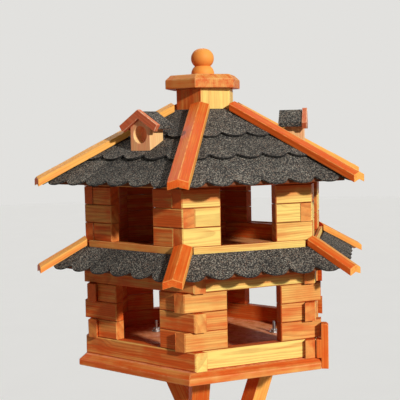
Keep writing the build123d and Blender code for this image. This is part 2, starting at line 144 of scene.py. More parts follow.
class Output:
    """What a node puts out. A sum written with outputs adds Math nodes."""

    def __init__(self, graph: Graph, socket: bpy.types.NodeSocket) -> None:
        """Keeps the socket together with the graph it is in."""
        self.graph = graph
        self.socket = socket

    def __add__(self, other: Value) -> Output:
        """Adds."""
        return self.graph.math("ADD", self, other)

    def __sub__(self, other: Value) -> Output:
        """Subtracts."""
        return self.graph.math("SUBTRACT", self, other)

    def __rsub__(self, other: Value) -> Output:
        """Subtracts this from a plain number."""
        return self.graph.math("SUBTRACT", other, self)

    def __mul__(self, other: Value) -> Output:
        """Multiplies."""
        return self.graph.math("MULTIPLY", self, other)

    def __truediv__(self, other: Value) -> Output:
        """Divides."""
        return self.graph.math("DIVIDE", self, other)

    def __pow__(self, other: Value) -> Output:
        """Raises to a power."""
        return self.graph.math("POWER", self, other)

    def parts(self) -> tuple[Output, ...]:
        """Splits a vector or a colour into its three numbers."""
        made = self.graph.node("ShaderNodeSeparateXYZ", {0: self})
        return tuple(Output(self.graph, socket) for socket in made.outputs)

    def remap(self, low: float, high: float, to_low: float = 0.0, to_high: float = 1.0) -> Output:
        """Maps one range onto another, smoothly and held at its ends.

        Args:
            low: Value that gives to_low.
            high: Value that gives to_high.
            to_low: Result at low.
            to_high: Result at high.

        Returns:
            The mapped number.
        """
        values = {0: self, 1: low, 2: high, 3: to_low, 4: to_high}
        return self.graph.get("ShaderNodeMapRange", values, interpolation_type="SMOOTHSTEP")


Value = float | int | str | bool | Sequence[float] | Output


class Graph:
    """A node tree that is filled by calls: each adds a node and gives back what it puts out."""

    def __init__(self, tree: bpy.types.NodeTree) -> None:
        """Takes the node tree to fill."""
        self.tree = tree

    def feed(self, socket: bpy.types.NodeSocket, value: Value) -> None:
        """Links a socket to an output, or writes a plain value into it.

        Args:
            socket: Input to feed.
            value: Output to link from, or a value.
        """
        if isinstance(value, Output):
            self.tree.links.new(value.socket, socket)
        elif socket.type == "RGBA":
            socket.default_value = (*value, 1.0)
        else:
            socket.default_value = value

    def node(
        self, kind: str, inputs: dict[str | int, Value] | None = None, **settings: str | bool
    ) -> bpy.types.Node:
        """Adds a node.

        Args:
            kind: Blender's name of the node type.
            inputs: Values or outputs for its inputs, by name or by place.
            **settings: Properties of the node.

        Returns:
            The new node.
        """
        made = self.tree.nodes.new(kind)
        for name, setting in settings.items():
            setattr(made, name, setting)
        for key, value in (inputs or {}).items():
            self.feed(made.inputs[key], value)
        return made

    def get(
        self,
        kind: str,
        inputs: dict[str | int, Value] | None = None,
        give: str | int = 0,
        **settings: str | bool,
    ) -> Output:
        """Adds a node and gives one of its outputs.

        Args:
            kind: Blender's name of the node type.
            inputs: Values or outputs for its inputs, by name or by place.
            give: Name or place of the output to give.
            **settings: Properties of the node.

        Returns:
            The output.
        """
        return Output(self, self.node(kind, inputs, **settings).outputs[give])

    def math(self, operation: str, *values: Value, clamp: bool = False) -> Output:
        """Adds a Math node with the values as its inputs."""
        return self.get("ShaderNodeMath", dict(enumerate(values)), operation=operation, use_clamp=clamp)

    def vector(self, operation: str, *values: Value) -> Output:
        """Adds a Vector Math node with the values as its inputs."""
        return self.get("ShaderNodeVectorMath", dict(enumerate(values)), operation=operation)

    def combine(self, x: Value, y: Value, z: Value) -> Output:
        """Joins three numbers into a vector."""
        return self.get("ShaderNodeCombineXYZ", {0: x, 1: y, 2: z})

    def noise(
        self, vector: Value, scale: float, detail: float = 2.0, rough: float = 0.5, give: str = "Fac"
    ) -> Output:
        """Adds a Noise Texture node, whose outputs are named Fac and Color."""
        values = {"Vector": vector, "Scale": scale, "Detail": detail, "Roughness": rough}
        return self.get("ShaderNodeTexNoise", values, give)

    def mix(self, share: Value, first: Value, second: Value, blend: str = "MIX") -> Output:
        """Mixes two colours, with the share of the second given first."""
        values = {0: share, 6: first, 7: second}
        return self.get("ShaderNodeMix", values, 2, data_type="RGBA", blend_type=blend)

    def blend(self, share: Value, first: Value, second: Value) -> Output:
        """Mixes two numbers, with the share of the second given first."""
        return self.get("ShaderNodeMix", {0: share, 2: first, 3: second}, data_type="FLOAT")

    def attribute(self, name: str, give: str = "Fac") -> Output:
        """Reads a mesh attribute in a material."""
        return self.get("ShaderNodeAttribute", give=give, attribute_name=name)

    def object_place(self) -> Output:
        """Gives the place on the object, in its own coordinates."""
        return self.get("ShaderNodeTexCoord", give="Object")

    def shown(self) -> Output:
        """Tells apart the rays that show a background: from the camera, in gloss and through glass.

        Returns:
            1 for such a ray and 0 for the others.
        """
        rays = self.node("ShaderNodeLightPath")
        camera, glossy, through = (
            Output(self, rays.outputs[f"Is {kind} Ray"]) for kind in ("Camera", "Glossy", "Transmission")
        )
        return self.math("MAXIMUM", self.math("MAXIMUM", camera, glossy), through)

    def join(self, parts: Iterable[Output]) -> Output:
        """Joins several geometries into one.

        Args:
            parts: The geometries.

        Returns:
            The joined geometry.
        """
        joined = self.node("GeometryNodeJoinGeometry")
        for part in parts:
            self.feed(joined.inputs[0], part)
        return Output(self, joined.outputs[0])


@dataclass(frozen=True)
class Surface:
    """What a finished material's shader needs besides its colour."""

    roughness: float | Output
    bump: Output
    bump_depth: float
    bump_strength: float
    metallic: float = 0.0
    specular: float = 0.5


class Finish:
    """A procedural finish. Each kind draws its own nodes, and the shader around them is shared."""

    name: str

    def paint(self, graph: Graph) -> tuple[Output, Surface]:
        """Draws the nodes of the finish.

        Args:
            graph: Tree to draw them in.

        Returns:
            The colour, and the rest of the surface.
        """
        raise NotImplementedError

    def material(self) -> bpy.types.Material:
        """Builds the material once, and gives the same one back after that.

        Returns:
            The material.
        """
        found = bpy.data.materials.get(self.name)
        if found:
            return found
        made = bpy.data.materials.new(self.name)
        made.use_nodes = True
        made.node_tree.nodes.clear()
        graph = Graph(made.node_tree)
        colour, surface = self.paint(graph)
        bump = {"Strength": surface.bump_strength, "Distance": surface.bump_depth, "Height": surface.bump}
        shader = {
            "Base Color": colour,
            "Roughness": surface.roughness,
            "Metallic": surface.metallic,
            "Specular IOR Level": surface.specular,
            "Normal": graph.get("ShaderNodeBump", bump),
        }
        graph.node("ShaderNodeOutputMaterial", {"Surface": graph.get("ShaderNodeBsdfPrincipled", shader)})
        return made


@dataclass(frozen=True)
class TimberFinish(Finish):
    """Softwood under a translucent stain, with growth rings, fibres, knots and pale worn edges.

    The pattern follows the grain attribute, which runs along X of each timber and turns about its pith.
    Fibres and streaks are given as how many come to a metre, along the grain and across it. A range is
    the part of a noise, or of the distance from a knot, over which something comes in. Late growth and
    its stop are measured across a ring, from 0 to 1, and a drift is what is added to the tone.
    """

    name: str
    honey: Colour
    amber: Colour
    late_wood: Colour
    worn_wood: Colour
    knot_heart: Colour = (0.06, 0.016, 0.004)
    fibre_shade: Colour = (0.5, 0.36, 0.25)
    ring_width: float = 0.0034
    ring_contrast: float = 0.34
    streak_contrast: float = 0.36
    fibre_contrast: float = 0.20
    sway: float = 0.012
    late_growth: Pair = (0.25, 0.86)
    late_stop: Pair = (1.0, 0.93)
    faintest_rings: float = 0.45
    blotch_drift: Pair = (-0.14, 0.14)
    streak_drift: Pair = (-0.16, 0.16)
    streak_range: Pair = (0.54, 0.70)
    dark_streak_range: Pair = (0.60, 0.80)
    dark_streak_contrast: float = 0.30
    scuff_range: Pair = (0.38, 0.6)
    scuff_strength: Pair = (0.15, 0.85)
    roughness: Pair = (0.43, 0.62)
    late_relief: float = 0.5
    fibre_relief: float = -0.5
    knot_relief: float = -0.8
    knots_a_metre: float = 13.0
    knot_range: Pair = (0.30, 0.06)
    knot_core: Pair = (0.085, 0.055)
    knot_halo: float = 0.28
    knot_ring_shades: Pair = (0.35, 0.8)
    knot_length: float = 0.55
    knot_share: float = 0.35
    knot_bulge: float = 0.007
    knot_rings: float = 210.0
    bends: Pair = (0.16, 17.0)
    fibres: Pair = (26.0, 950.0)
    streaks: Pair = (5.0, 110.0)
    blotches_a_metre: float = 26.0
    scuffs_a_metre: float = 95.0

    def paint(self, graph: Graph) -> tuple[Output, Surface]:
        """Draws growth rings about the pith, fibres along the grain, knots, stain blotches and wear.

        Args:
            graph: Tree to draw them in.

        Returns:
            The colour, and the rest of the surface.
        """
        grain = graph.attribute(GRAIN, "Vector")
        _, across, deep = grain.parts()

        def stretched(lengthwise: float, crosswise: float = 1.0) -> Output:
            """Scales the grain along and across the timber."""
            return graph.vector("MULTIPLY", grain, (lengthwise, crosswise, crosswise))

        cells = {"Vector": stretched(self.knot_length), "Scale": self.knots_a_metre}
        knots = graph.node("ShaderNodeTexVoronoi", cells)
        from_knot = Output(graph, knots.outputs["Distance"])
        chance = Output(graph, knots.outputs["Color"]).parts()[0]
        is_knot = graph.math("LESS_THAN", chance, self.knot_share)
        near = from_knot.remap(*self.knot_range) * is_knot
        core = from_knot.remap(*self.knot_core) * is_knot

        wander = graph.noise(stretched(self.bends[0]), self.bends[1], 2.5, give="Color")
        swing = graph.vector("MULTIPLY", graph.vector("SUBTRACT", wander, (0.5,) * 3), (self.sway * 2,) * 3)
        _, swing_across, swing_deep = swing.parts()
        radius = graph.math("SQRT", (across + swing_across) ** 2.0 + (deep + swing_deep) ** 2.0)
        ring = graph.math("FRACT", (radius + near * self.knot_bulge) / self.ring_width)
        late = ring.remap(*self.late_growth) * ring.remap(*self.late_stop)

        fibre = graph.noise(stretched(*self.fibres), 1.0, 2.0, 0.6)
        streak = graph.noise(stretched(*self.streaks), 1.0, 3.0, 0.6)
        blotch = graph.noise(grain, self.blotches_a_metre, 3.0, 0.55)

        drift = blotch.remap(0.25, 0.75, *self.blotch_drift) + streak.remap(0.66, 0.34, *self.streak_drift)
        stained = graph.math("ADD", graph.attribute(TONE), drift, clamp=True)
        colour = graph.mix(stained, self.amber, self.honey)
        depth = blotch.remap(0.3, 0.7, self.ring_contrast * self.faintest_rings, self.ring_contrast)
        colour = graph.mix(late * depth, colour, self.late_wood)
        streaked = streak.remap(*self.streak_range, 0.0, self.streak_contrast)
        colour = graph.mix(streaked, colour, self.amber)
        streaked = streak.remap(*self.dark_streak_range, 0.0, self.dark_streak_contrast)
        colour = graph.mix(streaked, colour, self.late_wood)
        shaded = graph.mix(1.0, colour, self.fibre_shade, "MULTIPLY")
        colour = graph.mix(fibre.remap(0.3, 0.7, 0.0, self.fibre_contrast), colour, shaded)
        wave = graph.math("SINE", from_knot * self.knot_rings)
        knot_ring = wave.remap(-1.0, 1.0, *self.knot_ring_shades)
        knot_colour = graph.mix(knot_ring, self.late_wood, self.knot_heart)
        colour = graph.mix(graph.math("MAXIMUM", core, near * self.knot_halo), colour, knot_colour)
        scuffs = graph.noise(grain, self.scuffs_a_metre, 3.0, 0.65)
        scuffed = scuffs.remap(*self.scuff_range, *self.scuff_strength)
        colour = graph.mix(graph.attribute(WORN) * scuffed, colour, self.worn_wood)

        height = late * self.late_relief + (fibre * self.fibre_relief + core * self.knot_relief)
        rough = blotch.remap(0.2, 0.8, *self.roughness)
        return colour, Surface(rough, height, bump_depth=0.0006, bump_strength=0.55, specular=0.12)


@dataclass(frozen=True)
class FeltFinish(Finish):
    """Bitumen felt with crushed stone pressed into it.

    The stone, warm and bright ranges are parts of the chance that each stone draws, from 0 to 1. The
    grain range is measured from a stone's middle.
    """

    name: str
    dark: Colour
    stone: Colour
    warm: Colour
    bright: Colour
    gap: Colour
    bitumen: Colour
    grains_a_metre: float = 430.0
    grain_range: Pair = (0.66, 0.30)
    stone_range: Pair = (0.05, 0.75)
    warm_range: Pair = (0.72, 0.98)
    bright_range: Pair = (0.86, 0.99)
    tint_strength: float = 0.8
    cover: float = 0.92
    patches_a_metre: float = 34.0
    patch_levels: Pair = (0.78, 1.12)
    tab_contrast: float = 0.22
    bare_strength: float = 0.85
    grit_relief: float = 0.6
    roughness: float = 0.92

    def paint(self, graph: Graph) -> tuple[Output, Surface]:
        """Draws stone grains of several tints over dark bitumen, with a little drift between tabs.

        Args:
            graph: Tree to draw them in.

        Returns:
            The colour, and the rest of the surface.
        """
        place = graph.object_place()
        grains = graph.node("ShaderNodeTexVoronoi", {"Vector": place, "Scale": self.grains_a_metre})
        shade, warmth, glint = Output(graph, grains.outputs["Color"]).parts()
        body = Output(graph, grains.outputs["Distance"]).remap(*self.grain_range)
        patch = graph.noise(place, self.patches_a_metre, 3.0, 0.6)
        colour = graph.mix(shade.remap(*self.stone_range), self.dark, self.stone)
        colour = graph.mix(warmth.remap(*self.warm_range, 0.0, self.tint_strength), colour, self.warm)
        colour = graph.mix(glint.remap(*self.bright_range, 0.0, self.tint_strength), colour, self.bright)
        colour = graph.mix(body * self.cover, self.gap, colour)
        level = patch.remap(0.3, 0.7, *self.patch_levels) + graph.attribute(TONE) * self.tab_contrast
        colour = graph.mix(1.0, colour, graph.combine(level, level, level), "MULTIPLY")
        colour = graph.mix(graph.attribute(WORN) * self.bare_strength, colour, self.bitumen)
        height = body + warmth * self.grit_relief
        rest = Surface(self.roughness, height, bump_depth=0.0008, bump_strength=0.8, specular=0.25)
        return colour, rest


@dataclass(frozen=True)
class ZincFinish(Finish):
    """Zinc-plated steel, a little dulled."""

    name: str
    colour: Colour
    dulled: Colour
    spangles_a_metre: float = 240.0
    dullness: float = 0.55
    roughness: Pair = (0.28, 0.5)

    def paint(self, graph: Graph) -> tuple[Output, Surface]:
        """Draws fine spangle and dull patches.

        Args:
            graph: Tree to draw them in.

        Returns:
            The colour, and the rest of the surface.
        """
        spangle = graph.noise(graph.object_place(), self.spangles_a_metre, 3.0, 0.6)
        colour = graph.mix(spangle.remap(0.35, 0.7, 0.0, self.dullness), self.colour, self.dulled)
        rough = spangle.remap(0.3, 0.7, *self.roughness)
        return colour, Surface(rough, spangle, bump_depth=0.0002, bump_strength=0.4, metallic=1.0)


@dataclass(frozen=True)
class FloorFinish(Finish):
    """Plain pale studio floor, which throws less light up onto the object than it shows."""

    name: str
    colour: Colour
    bounced: Colour

    def paint(self, graph: Graph) -> tuple[Output, Surface]:
        """Draws an even colour with the faintest mottling.

        Args:
            graph: Tree to draw it in.

        Returns:
            The colour, and the rest of the surface.
        """
        mottle = graph.noise(graph.object_place(), 3.0)
        tint = tuple(channel * 0.97 for channel in self.colour)
        colour = graph.mix(graph.shown(), self.bounced, graph.mix(mottle, self.colour, tint))
        return colour, Surface(0.9, mottle, bump_depth=0.0001, bump_strength=0.1, specular=0.2)


STAINED = TimberFinish(
    name="stained_timber",
    honey=linear(248, 214, 118),
    amber=linear(216, 94, 34),
    late_wood=linear(150, 54, 16),
    worn_wood=linear(242, 202, 140),
)
PLANED = replace(STAINED, name="stained_board", ring_contrast=0.20, sway=0.006, knot_share=0.1)
DEEP_STAINED = replace(
    PLANED,
    name="deep_stained_board",
    honey=linear(248, 178, 84),
    amber=linear(230, 98, 32),
    late_wood=linear(176, 64, 18),
    worn_wood=linear(252, 190, 106),
)
TURNED = replace(DEEP_STAINED, name="turned_timber", ring_contrast=0.45, streak_contrast=0.8)
# The floor's worn colour on trodden tops is partly painted light on the floor, as well as wear.
FLOORING = replace(PLANED, name="feeding_floor", worn_wood=linear(244, 166, 118))
# Roof boards under the felt are painted dark, as the shade that they lie in there.
SHADE_DARK_BOARD = replace(
    PLANED,
    name="dark_board",
    honey=linear(170, 96, 50),
    amber=linear(104, 50, 24),
    late_wood=linear(70, 30, 13),
)
# The dormers' pale colour partly stands in for the stronger light on them, besides the wood's own colour.
PALE = replace(
    PLANED,
    name="pale_timber",
    honey=linear(248, 204, 138),
    amber=linear(250, 162, 114),
    late_wood=linear(176, 84, 52),
    worn_wood=linear(246, 214, 176),
)
GABLE = replace(
    PLANED,
    name="gable_timber",
    honey=linear(240, 170, 118),
    amber=linear(214, 104, 66),
    late_wood=linear(150, 58, 34),
    worn_wood=linear(250, 206, 166),
)
FELT = FeltFinish(
    name="mineral_felt",
    dark=linear(82, 79, 73),
    stone=linear(146, 139, 125),
    warm=linear(156, 130, 110),
    bright=linear(196, 188, 170),
    gap=linear(48, 45, 43),
    bitumen=linear(24, 22, 22),
)
ZINC = ZincFinish(name="zinc_plated_steel", colour=linear(196, 196, 192), dulled=(0.30, 0.29, 0.27))
PALE_FLOOR = FloorFinish(name="studio_floor", colour=linear(250, 249, 246), bounced=linear(168, 166, 162))


class GrainRun(Enum):
    """How the grain of a timber is found."""

    LONGEST_EDGE = "along its longest edge"
    UPRIGHT = "straight up"
    AROUND = "along each side of a hexagon"


def new_object(name: str, mesh: bpy.types.Mesh) -> bpy.types.Object:
    """Links a mesh into the scene as an object that sits at the origin.

    Args:
        name: Name of the object.
        mesh: Mesh that it shows.

    Returns:
        The object.
    """
    made = bpy.data.objects.new(name, mesh)
    bpy.context.scene.collection.objects.link(made)
    return made


def declare(piece: bpy.types.Object, slot: str, node: str | None = None) -> bpy.types.Object:
    """Attaches a finished piece to the body that it rides on, and hides the CAD node that it replaces.

    Args:
        piece: The finished piece.
        slot: Material slot of the piece. Not used.
        node: CAD node that it replaces, if any.

    Returns:
        The piece.
    """
    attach(piece, BODY)
    if node:
        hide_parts(node)
    return piece


def edges_of(members: list[bmesh.types.BMVert]) -> list[bmesh.types.BMEdge]:
    """Lists the edges that meet some vertices, each once and always in the same order."""
    return list(dict.fromkeys(edge for vertex in members for edge in vertex.link_edges))


def faces_of(members: list[bmesh.types.BMVert]) -> list[bmesh.types.BMFace]:
    """Lists the faces that meet some vertices, each once and always in the same order."""
    return list(dict.fromkeys(face for vertex in members for face in vertex.link_faces))


def islands(shape: bmesh.types.BMesh) -> list[list[bmesh.types.BMVert]]:
    """Finds the separate solids in a mesh.

    Args:
        shape: Mesh whose faces share their corners.

    Returns:
        The vertices of each solid.
    """
    seen: set[int] = set()
    found = []
    shape.verts.index_update()
    for start in shape.verts:
        if start.index in seen:
            continue
        seen.add(start.index)
        stack, members = [start], []
        while stack:
            vertex = stack.pop()
            members.append(vertex)
            for edge in vertex.link_edges:
                other = edge.other_vert(vertex)
                if other.index not in seen:
                    seen.add(other.index)
                    stack.append(other)
        found.append(members)
    return found


@dataclass(frozen=True)
class Solid:
    """One solid of a timber: its middle, the directions of its grain, its pith and its tone."""

    middle: Vector
    axes: tuple[Vector, ...]
    pith: Vector
    shade: float


@dataclass
class Timber:
    """A wooden CAD node, dressed as eased and worn timber with grain of its own on each solid.

    A tone of 0 gives the finish's amber and 1 its honey. Sun bleaching and painted light add to it: on
    faces that look towards the light, on the wings of the side battens, and on end grain with a share for
    each half of the feeder, left and right. Faces turned away get painted shade, and under an eave the
    painted light fades out as a painted shadow. Trodden tops, whose paler colour is partly painted light,
    and eased edges are worn, from 0 to 1.
    """

    node: str
    slot: str
    finish: Finish = STAINED
    tone: float = 0.5
    tone_spread: float = 0.12
    bleach_and_light: float = 0.0
    side_bleach_and_light: float = 0.0
    end_bleach_and_light: Pair = (0.2, 0.2)
    sheltered_and_shaded_within: bool = False
    open_gain: float = 1.25
    # Height under which the painted light fades out as a painted shadow of the eave, and how far the fade
    # runs
    eave_height: float = 0.0
    fade_height: float = 0.6 * COURSE_HEIGHT
    wear: float = 0.5
    trodden_and_lit: float = 0.0
    ease: float = 0.0008
    unevenness: float = 0.0
    run: GrainRun = GrainRun.LONGEST_EDGE
    slices: float = 0.018
    pith: float = 0.030
    end_spread: float = 0.25
    seed: int = 1

    def merged(self, source: bpy.types.Object) -> bmesh.types.BMesh:
        """Copies the CAD mesh, joins its corners and clears the seams inside flat faces.

        Args:
            source: CAD node's object, which is left as it is.

        Returns:
            The cleaned copy.
        """
        shape = bmesh.new()
        shape.from_mesh(source.data)
        bmesh.ops.remove_doubles(shape, verts=shape.verts, dist=JOIN_DISTANCE)
        bmesh.ops.dissolve_limit(shape, angle_limit=FLAT_ANGLE, verts=shape.verts, edges=shape.edges)
        return shape

    def grain_axes(self, members: list[bmesh.types.BMVert]) -> tuple[Vector, Vector, Vector]:
        """Finds the direction of the grain in one solid and two directions across it.

        Args:
            members: The solid's vertices.

        Returns:
            Three directions at right angles, the grain's first.
        """
        if self.run is GrainRun.UPRIGHT:
            along = Vector((0, 0, 1))
        else:
            spans = [edge.verts[1].co - edge.verts[0].co for edge in edges_of(members)]
            along = max(spans, key=lambda span: round(span.length, 5)).normalized()
        sides = faces_of(members)
        broad = max(sides, key=lambda face: round(face.calc_area() * (1 - abs(face.normal.dot(along))), 7))
        deep = (broad.normal - along * broad.normal.dot(along)).normalized()
        return along, deep.cross(along), deep

    def face_axes(self, face: bmesh.types.BMFace, axes: tuple[Vector, ...]) -> tuple[Vector, ...]:
        """Finds the grain's directions on one face.

        Args:
            face: Face to look at.
            axes: Directions of the whole solid.

        Returns:
            The solid's directions, or those along a side face where the grain goes round.
        """
        outwards = Vector((face.normal.x, face.normal.y, 0))
        if self.run is not GrainRun.AROUND or outwards.length < LEVEL_FACE:
            return axes
        outwards.normalize()
        return outwards.cross(Vector((0, 0, 1))), outwards, Vector((0, 0, 1))

    def bleached_and_lit(self, face: bmesh.types.BMFace, solid: Solid) -> float:
        """Says how much paler a face is painted, as sun bleaching and as the light that falls on it.

        Args:
            face: Face to look at.
            solid: The solid that it is on.

        Returns:
            What it adds to the tone.
        """
        strength = self.bleach_and_light
        # Faces that look into the feeder take less of the bleaching and painted light, which paints the
        # inside in shade; end grain takes a share for each half.
        if self.sheltered_and_shaded_within:
            middle = face.calc_center_median()
            outwards = Vector((middle.x, middle.y, 0)).normalized()
            strength *= min(1.0, max(0.0, face.normal.dot(outwards) * self.open_gain))
            if abs(face.normal.dot(solid.axes[0])) > END_FACE:
                strength *= self.end_bleach_and_light[0] if middle.x < 0 else self.end_bleach_and_light[1]
        # Faces towards the light are painted paler, as sun bleaching and painted light; faces turned away
        # are painted darker, as painted shade.
        light_direction = outward(PAINTED_LIGHT_AZIMUTH, math.cos(PAINTED_LIGHT_ELEVATION), math.sin(PAINTED_LIGHT_ELEVATION))
        paler = strength * max(SHADED_SIDE, face.normal.dot(light_direction))
        # Right-hand faces, and front faces of solids at the far sides, are painted paler, as sun bleaching
        # and as light that falls on them.
        at_the_side = abs(solid.middle.x) > FAR_SIDE * solid.middle.xy.length
        if face.normal.x > RIGHT_FACE or (at_the_side and face.normal.y < 0):
            paler += self.side_bleach_and_light
        return paler

    def painted_light_below_eave(self, height: float) -> float:
        """Gives the share of the bleaching and painted light at a height, which fades out under an eave as
        a painted shadow.
        """
        if not self.eave_height:
            return 1.0
        return min(1.0, max(-1.0, (self.eave_height - height) / self.fade_height))

    def ease_edges(self, shape: bmesh.types.BMesh) -> None:
        """Rounds the sharp edges and marks the new faces as worn.

        Args:
            shape: Mesh to change.
        """
        worn = shape.faces.layers.float.new(WORN)
        sharp = [e for e in shape.edges if len(e.link_faces) == 2 and e.calc_face_angle(0) > SHARP_ANGLE]
        made = bmesh.ops.bevel(
            shape,
            geom=sharp,
            offset=self.ease,
            offset_type="OFFSET",
            segments=2,
            profile=0.5,
            affect="EDGES",
            clamp_overlap=True,
        )
        for face in made["faces"]:
            face[worn] = self.wear

    def slice_up(self, shape: bmesh.types.BMesh, members: list[bmesh.types.BMVert], along: Vector) -> None:
        """Cuts a solid across its grain, so that its edges can waver.

        Args:
            shape: Mesh that holds the solid.
            members: The solid's vertices, to which the new ones are added.
            along: Direction of the grain.
        """
        reaches = [vertex.co.dot(along) for vertex in members]
        low, high = min(reaches), max(reaches)
        count = int((high - low) / self.slices)
        for step in range(1, count):
            cut = bmesh.ops.bisect_plane(
                shape,
                geom=[*members, *edges_of(members), *faces_of(members)],
                dist=1e-6,
                plane_co=along * (low + (high - low) * step / count),
                plane_no=along,
            )
            added = [part for part in cut["geom_cut"] if isinstance(part, bmesh.types.BMVert)]
            members.extend(vertex for vertex in added if vertex not in members)

    def waver(self, members: list[bmesh.types.BMVert], shift: Vector) -> None:
        """Pushes a solid's surface in by a small uneven amount.

        Args:
            members: The solid's vertices.
            shift: Offset into the noise, so that no two solids are alike.
        """
        for vertex in members:
            place = vertex.co + shift
            ripple = sum(share * noise.noise(place * scale) for scale, share in RIPPLES)
            vertex.co -= vertex.normal * self.unevenness * (EVEN_LOSS + ripple)

    def dress(self, shape: bmesh.types.BMesh, face: bmesh.types.BMFace, solid: Solid) -> None:
        """Writes the grain, the tone and the wear of one face into the mesh.

        Args:
            shape: Mesh that holds the face.
            face: Face to dress.
            solid: The solid that it is on.
        """
        grain = shape.loops.layers.float_vector[GRAIN]
        tone = shape.loops.layers.float[TONE]
        # Tops are painted in the worn colour, partly as wear and partly as painted light.
        if self.trodden_and_lit and face.normal.z > TOP_FACE:
            face[shape.faces.layers.float[WORN]] = self.trodden_and_lit
        run = self.face_axes(face, solid.axes)
        is_end = self.sheltered_and_shaded_within and abs(face.normal.dot(run[0])) > END_FACE
        spread = self.end_spread if is_end else 1.0
        paler = self.bleached_and_lit(face, solid)
        for loop in face.loops:
            place = loop.vert.co - solid.middle
            loop[grain] = Vector([place.dot(axis) * spread for axis in run]) + solid.pith
            # The bleaching and painted light fade out under the eave, which paints the eave's shadow.
            loop[tone] = solid.shade + paler * self.painted_light_below_eave(loop.vert.co.z)

    def build(self, source: bpy.types.Object) -> bpy.types.Object:
        """Makes the dressed timber in place of its CAD node.

        Args:
            source: CAD node's object.

        Returns:
            The finished object.
        """
        draw = random.Random(f"{self.node} {self.seed}")
        shape = self.merged(source)
        frames = [(members[0].co.copy(), self.grain_axes(members)) for members in islands(shape)]
        self.ease_edges(shape)
        shape.loops.layers.float_vector.new(GRAIN)
        shape.loops.layers.float.new(TONE)
        for members in islands(shape):
            axes = min(frames, key=lambda f: min((v.co - f[0]).length for v in members))[1]
            if self.unevenness:
                self.slice_up(shape, members, axes[0])
            middle = sum((v.co for v in members), Vector()) / len(members)
            angle = draw.uniform(0, 2 * math.pi)
            shift = draw.uniform(0, GRAIN_SHIFT)
            pith = Vector((shift, math.cos(angle) * self.pith, math.sin(angle) * self.pith))
            shade = self.tone + draw.uniform(-self.tone_spread, self.tone_spread)
            shape.normal_update()
            for face in faces_of(members):
                self.dress(shape, face, Solid(middle, axes, pith, shade))
            if self.unevenness:
                self.waver(members, Vector([draw.uniform(0, RIPPLE_SHIFT) for _ in range(3)]))
        mesh = bpy.data.meshes.new(f"{self.node}_timber")
        shape.to_mesh(mesh)
        shape.free()
        mesh.materials.append(self.finish.material())
        return declare(new_object(mesh.name, mesh), self.slot, self.node)


def arc_points(start: Pair, middle: Pair, end: Pair, steps: int) -> list[Pair]:
    """Places points evenly along the arc through three points.

    Args:
        start: First point.
        middle: A point that the arc passes.
        end: Last point, which is left out of the result.
        steps: Number of steps along the arc.

    Returns:
        The points from the first on.
    """
    squares = [x * x + y * y for x, y in (start, middle, end)]
    (ax, ay), (bx, by), (cx, cy) = start, middle, end
    scale = 2 * (ax * (by - cy) + bx * (cy - ay) + cx * (ay - by))
    centre_x = (squares[0] * (by - cy) + squares[1] * (cy - ay) + squares[2] * (ay - by)) / scale
    centre_y = (squares[0] * (cx - bx) + squares[1] * (ax - cx) + squares[2] * (bx - ax)) / scale
    angles = [math.atan2(y - centre_y, x - centre_x) for x, y in (start, middle, end)]
    turn = math.tau if scale > 0 else -math.tau
    sweep = (angles[2] - angles[0]) % turn
    radius = math.hypot(ax - centre_x, ay - centre_y)
    places = [angles[0] + sweep * step / steps for step in range(steps)]
    return [(centre_x + radius * math.cos(place), centre_y + radius * math.sin(place)) for place in places]


@dataclass
class TurnedTimber(Timber):
    """The finial, turned on a lathe: a flattened ball on a dome, with a groove between them."""

    dome_radius: float = 0.0205
    dome_height: float = 0.0165
    shoulder: Pair = (0.93, 0.62)
    groove_radius: float = 0.0140
    ball_radius: float = 0.0206
    ball_height: float = 0.0320
    widest_share: float = 0.46
    crown_radius: float = 0.0280
    crown_share: float = 0.7
    steps: tuple[int, int, int] = (12, 30, 6)
    sides: int = 64
    smooth_below: float = math.radians(35)

    def outline(self) -> list[Pair]:
        """Draws the outline as radius and height above the foot.

        Returns:
            The points from the foot up to the pole.
        """
        groove = (self.groove_radius, self.dome_height)
        top = self.dome_height + self.ball_height
        half_crown = math.asin(self.crown_share * self.groove_radius / self.crown_radius)

        def crown(angle: float) -> Pair:
            """Gives the point on the crown at an angle from the pole."""
            return self.crown_radius * math.sin(angle), top - self.crown_radius * (1 - math.cos(angle))

        shoulder = (self.dome_radius * self.shoulder[0], self.dome_height * self.shoulder[1])
        widest = (self.ball_radius, self.dome_height + self.ball_height * self.widest_share)
        dome = arc_points((self.dome_radius, 0.0), shoulder, groove, self.steps[0])
        ball = arc_points(groove, widest, crown(half_crown), self.steps[1])
        return dome + ball + arc_points(crown(half_crown), crown(half_crown / 2), (0.0, top), self.steps[2])

    def merged(self, source: bpy.types.Object) -> bmesh.types.BMesh:
        """Spins the outline about the CAD piece's upright axis.

        Args:
            source: CAD node's object, which is left as it is.

        Returns:
            The turned shape.
        """
        low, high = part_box(self.node)
        middle_x, middle_y = (low[0] + high[0]) / 2, (low[1] + high[1]) / 2
        angles = [math.tau * side / self.sides for side in range(self.sides)]
        shape = bmesh.new()
        rings = []
        for radius, up in self.outline():
            places = [(middle_x + radius * math.cos(a), middle_y + radius * math.sin(a)) for a in angles]
            rings.append([shape.verts.new((x, y, low[2] + up)) for x, y in places])
        pole = shape.verts.new((middle_x, middle_y, high[2]))
        shape.faces.new(list(reversed(rings[0])))
        for side in range(self.sides):
            beside = (side + 1) % self.sides
            for below, above in zip(rings, rings[1:]):
                shape.faces.new((below[side], below[beside], above[beside], above[side]))
            shape.faces.new((rings[-1][side], rings[-1][beside], pole))
        return shape

    def build(self, source: bpy.types.Object) -> bpy.types.Object:
        """Makes the turned timber and smooths all but its sharp rims.

        Args:
            source: CAD node's object.

        Returns:
            The finished object.
        """
        made = super().build(source)
        for face in made.data.polygons:
            face.use_smooth = True
        made.data.set_sharp_from_angle(angle=self.smooth_below)
        return made


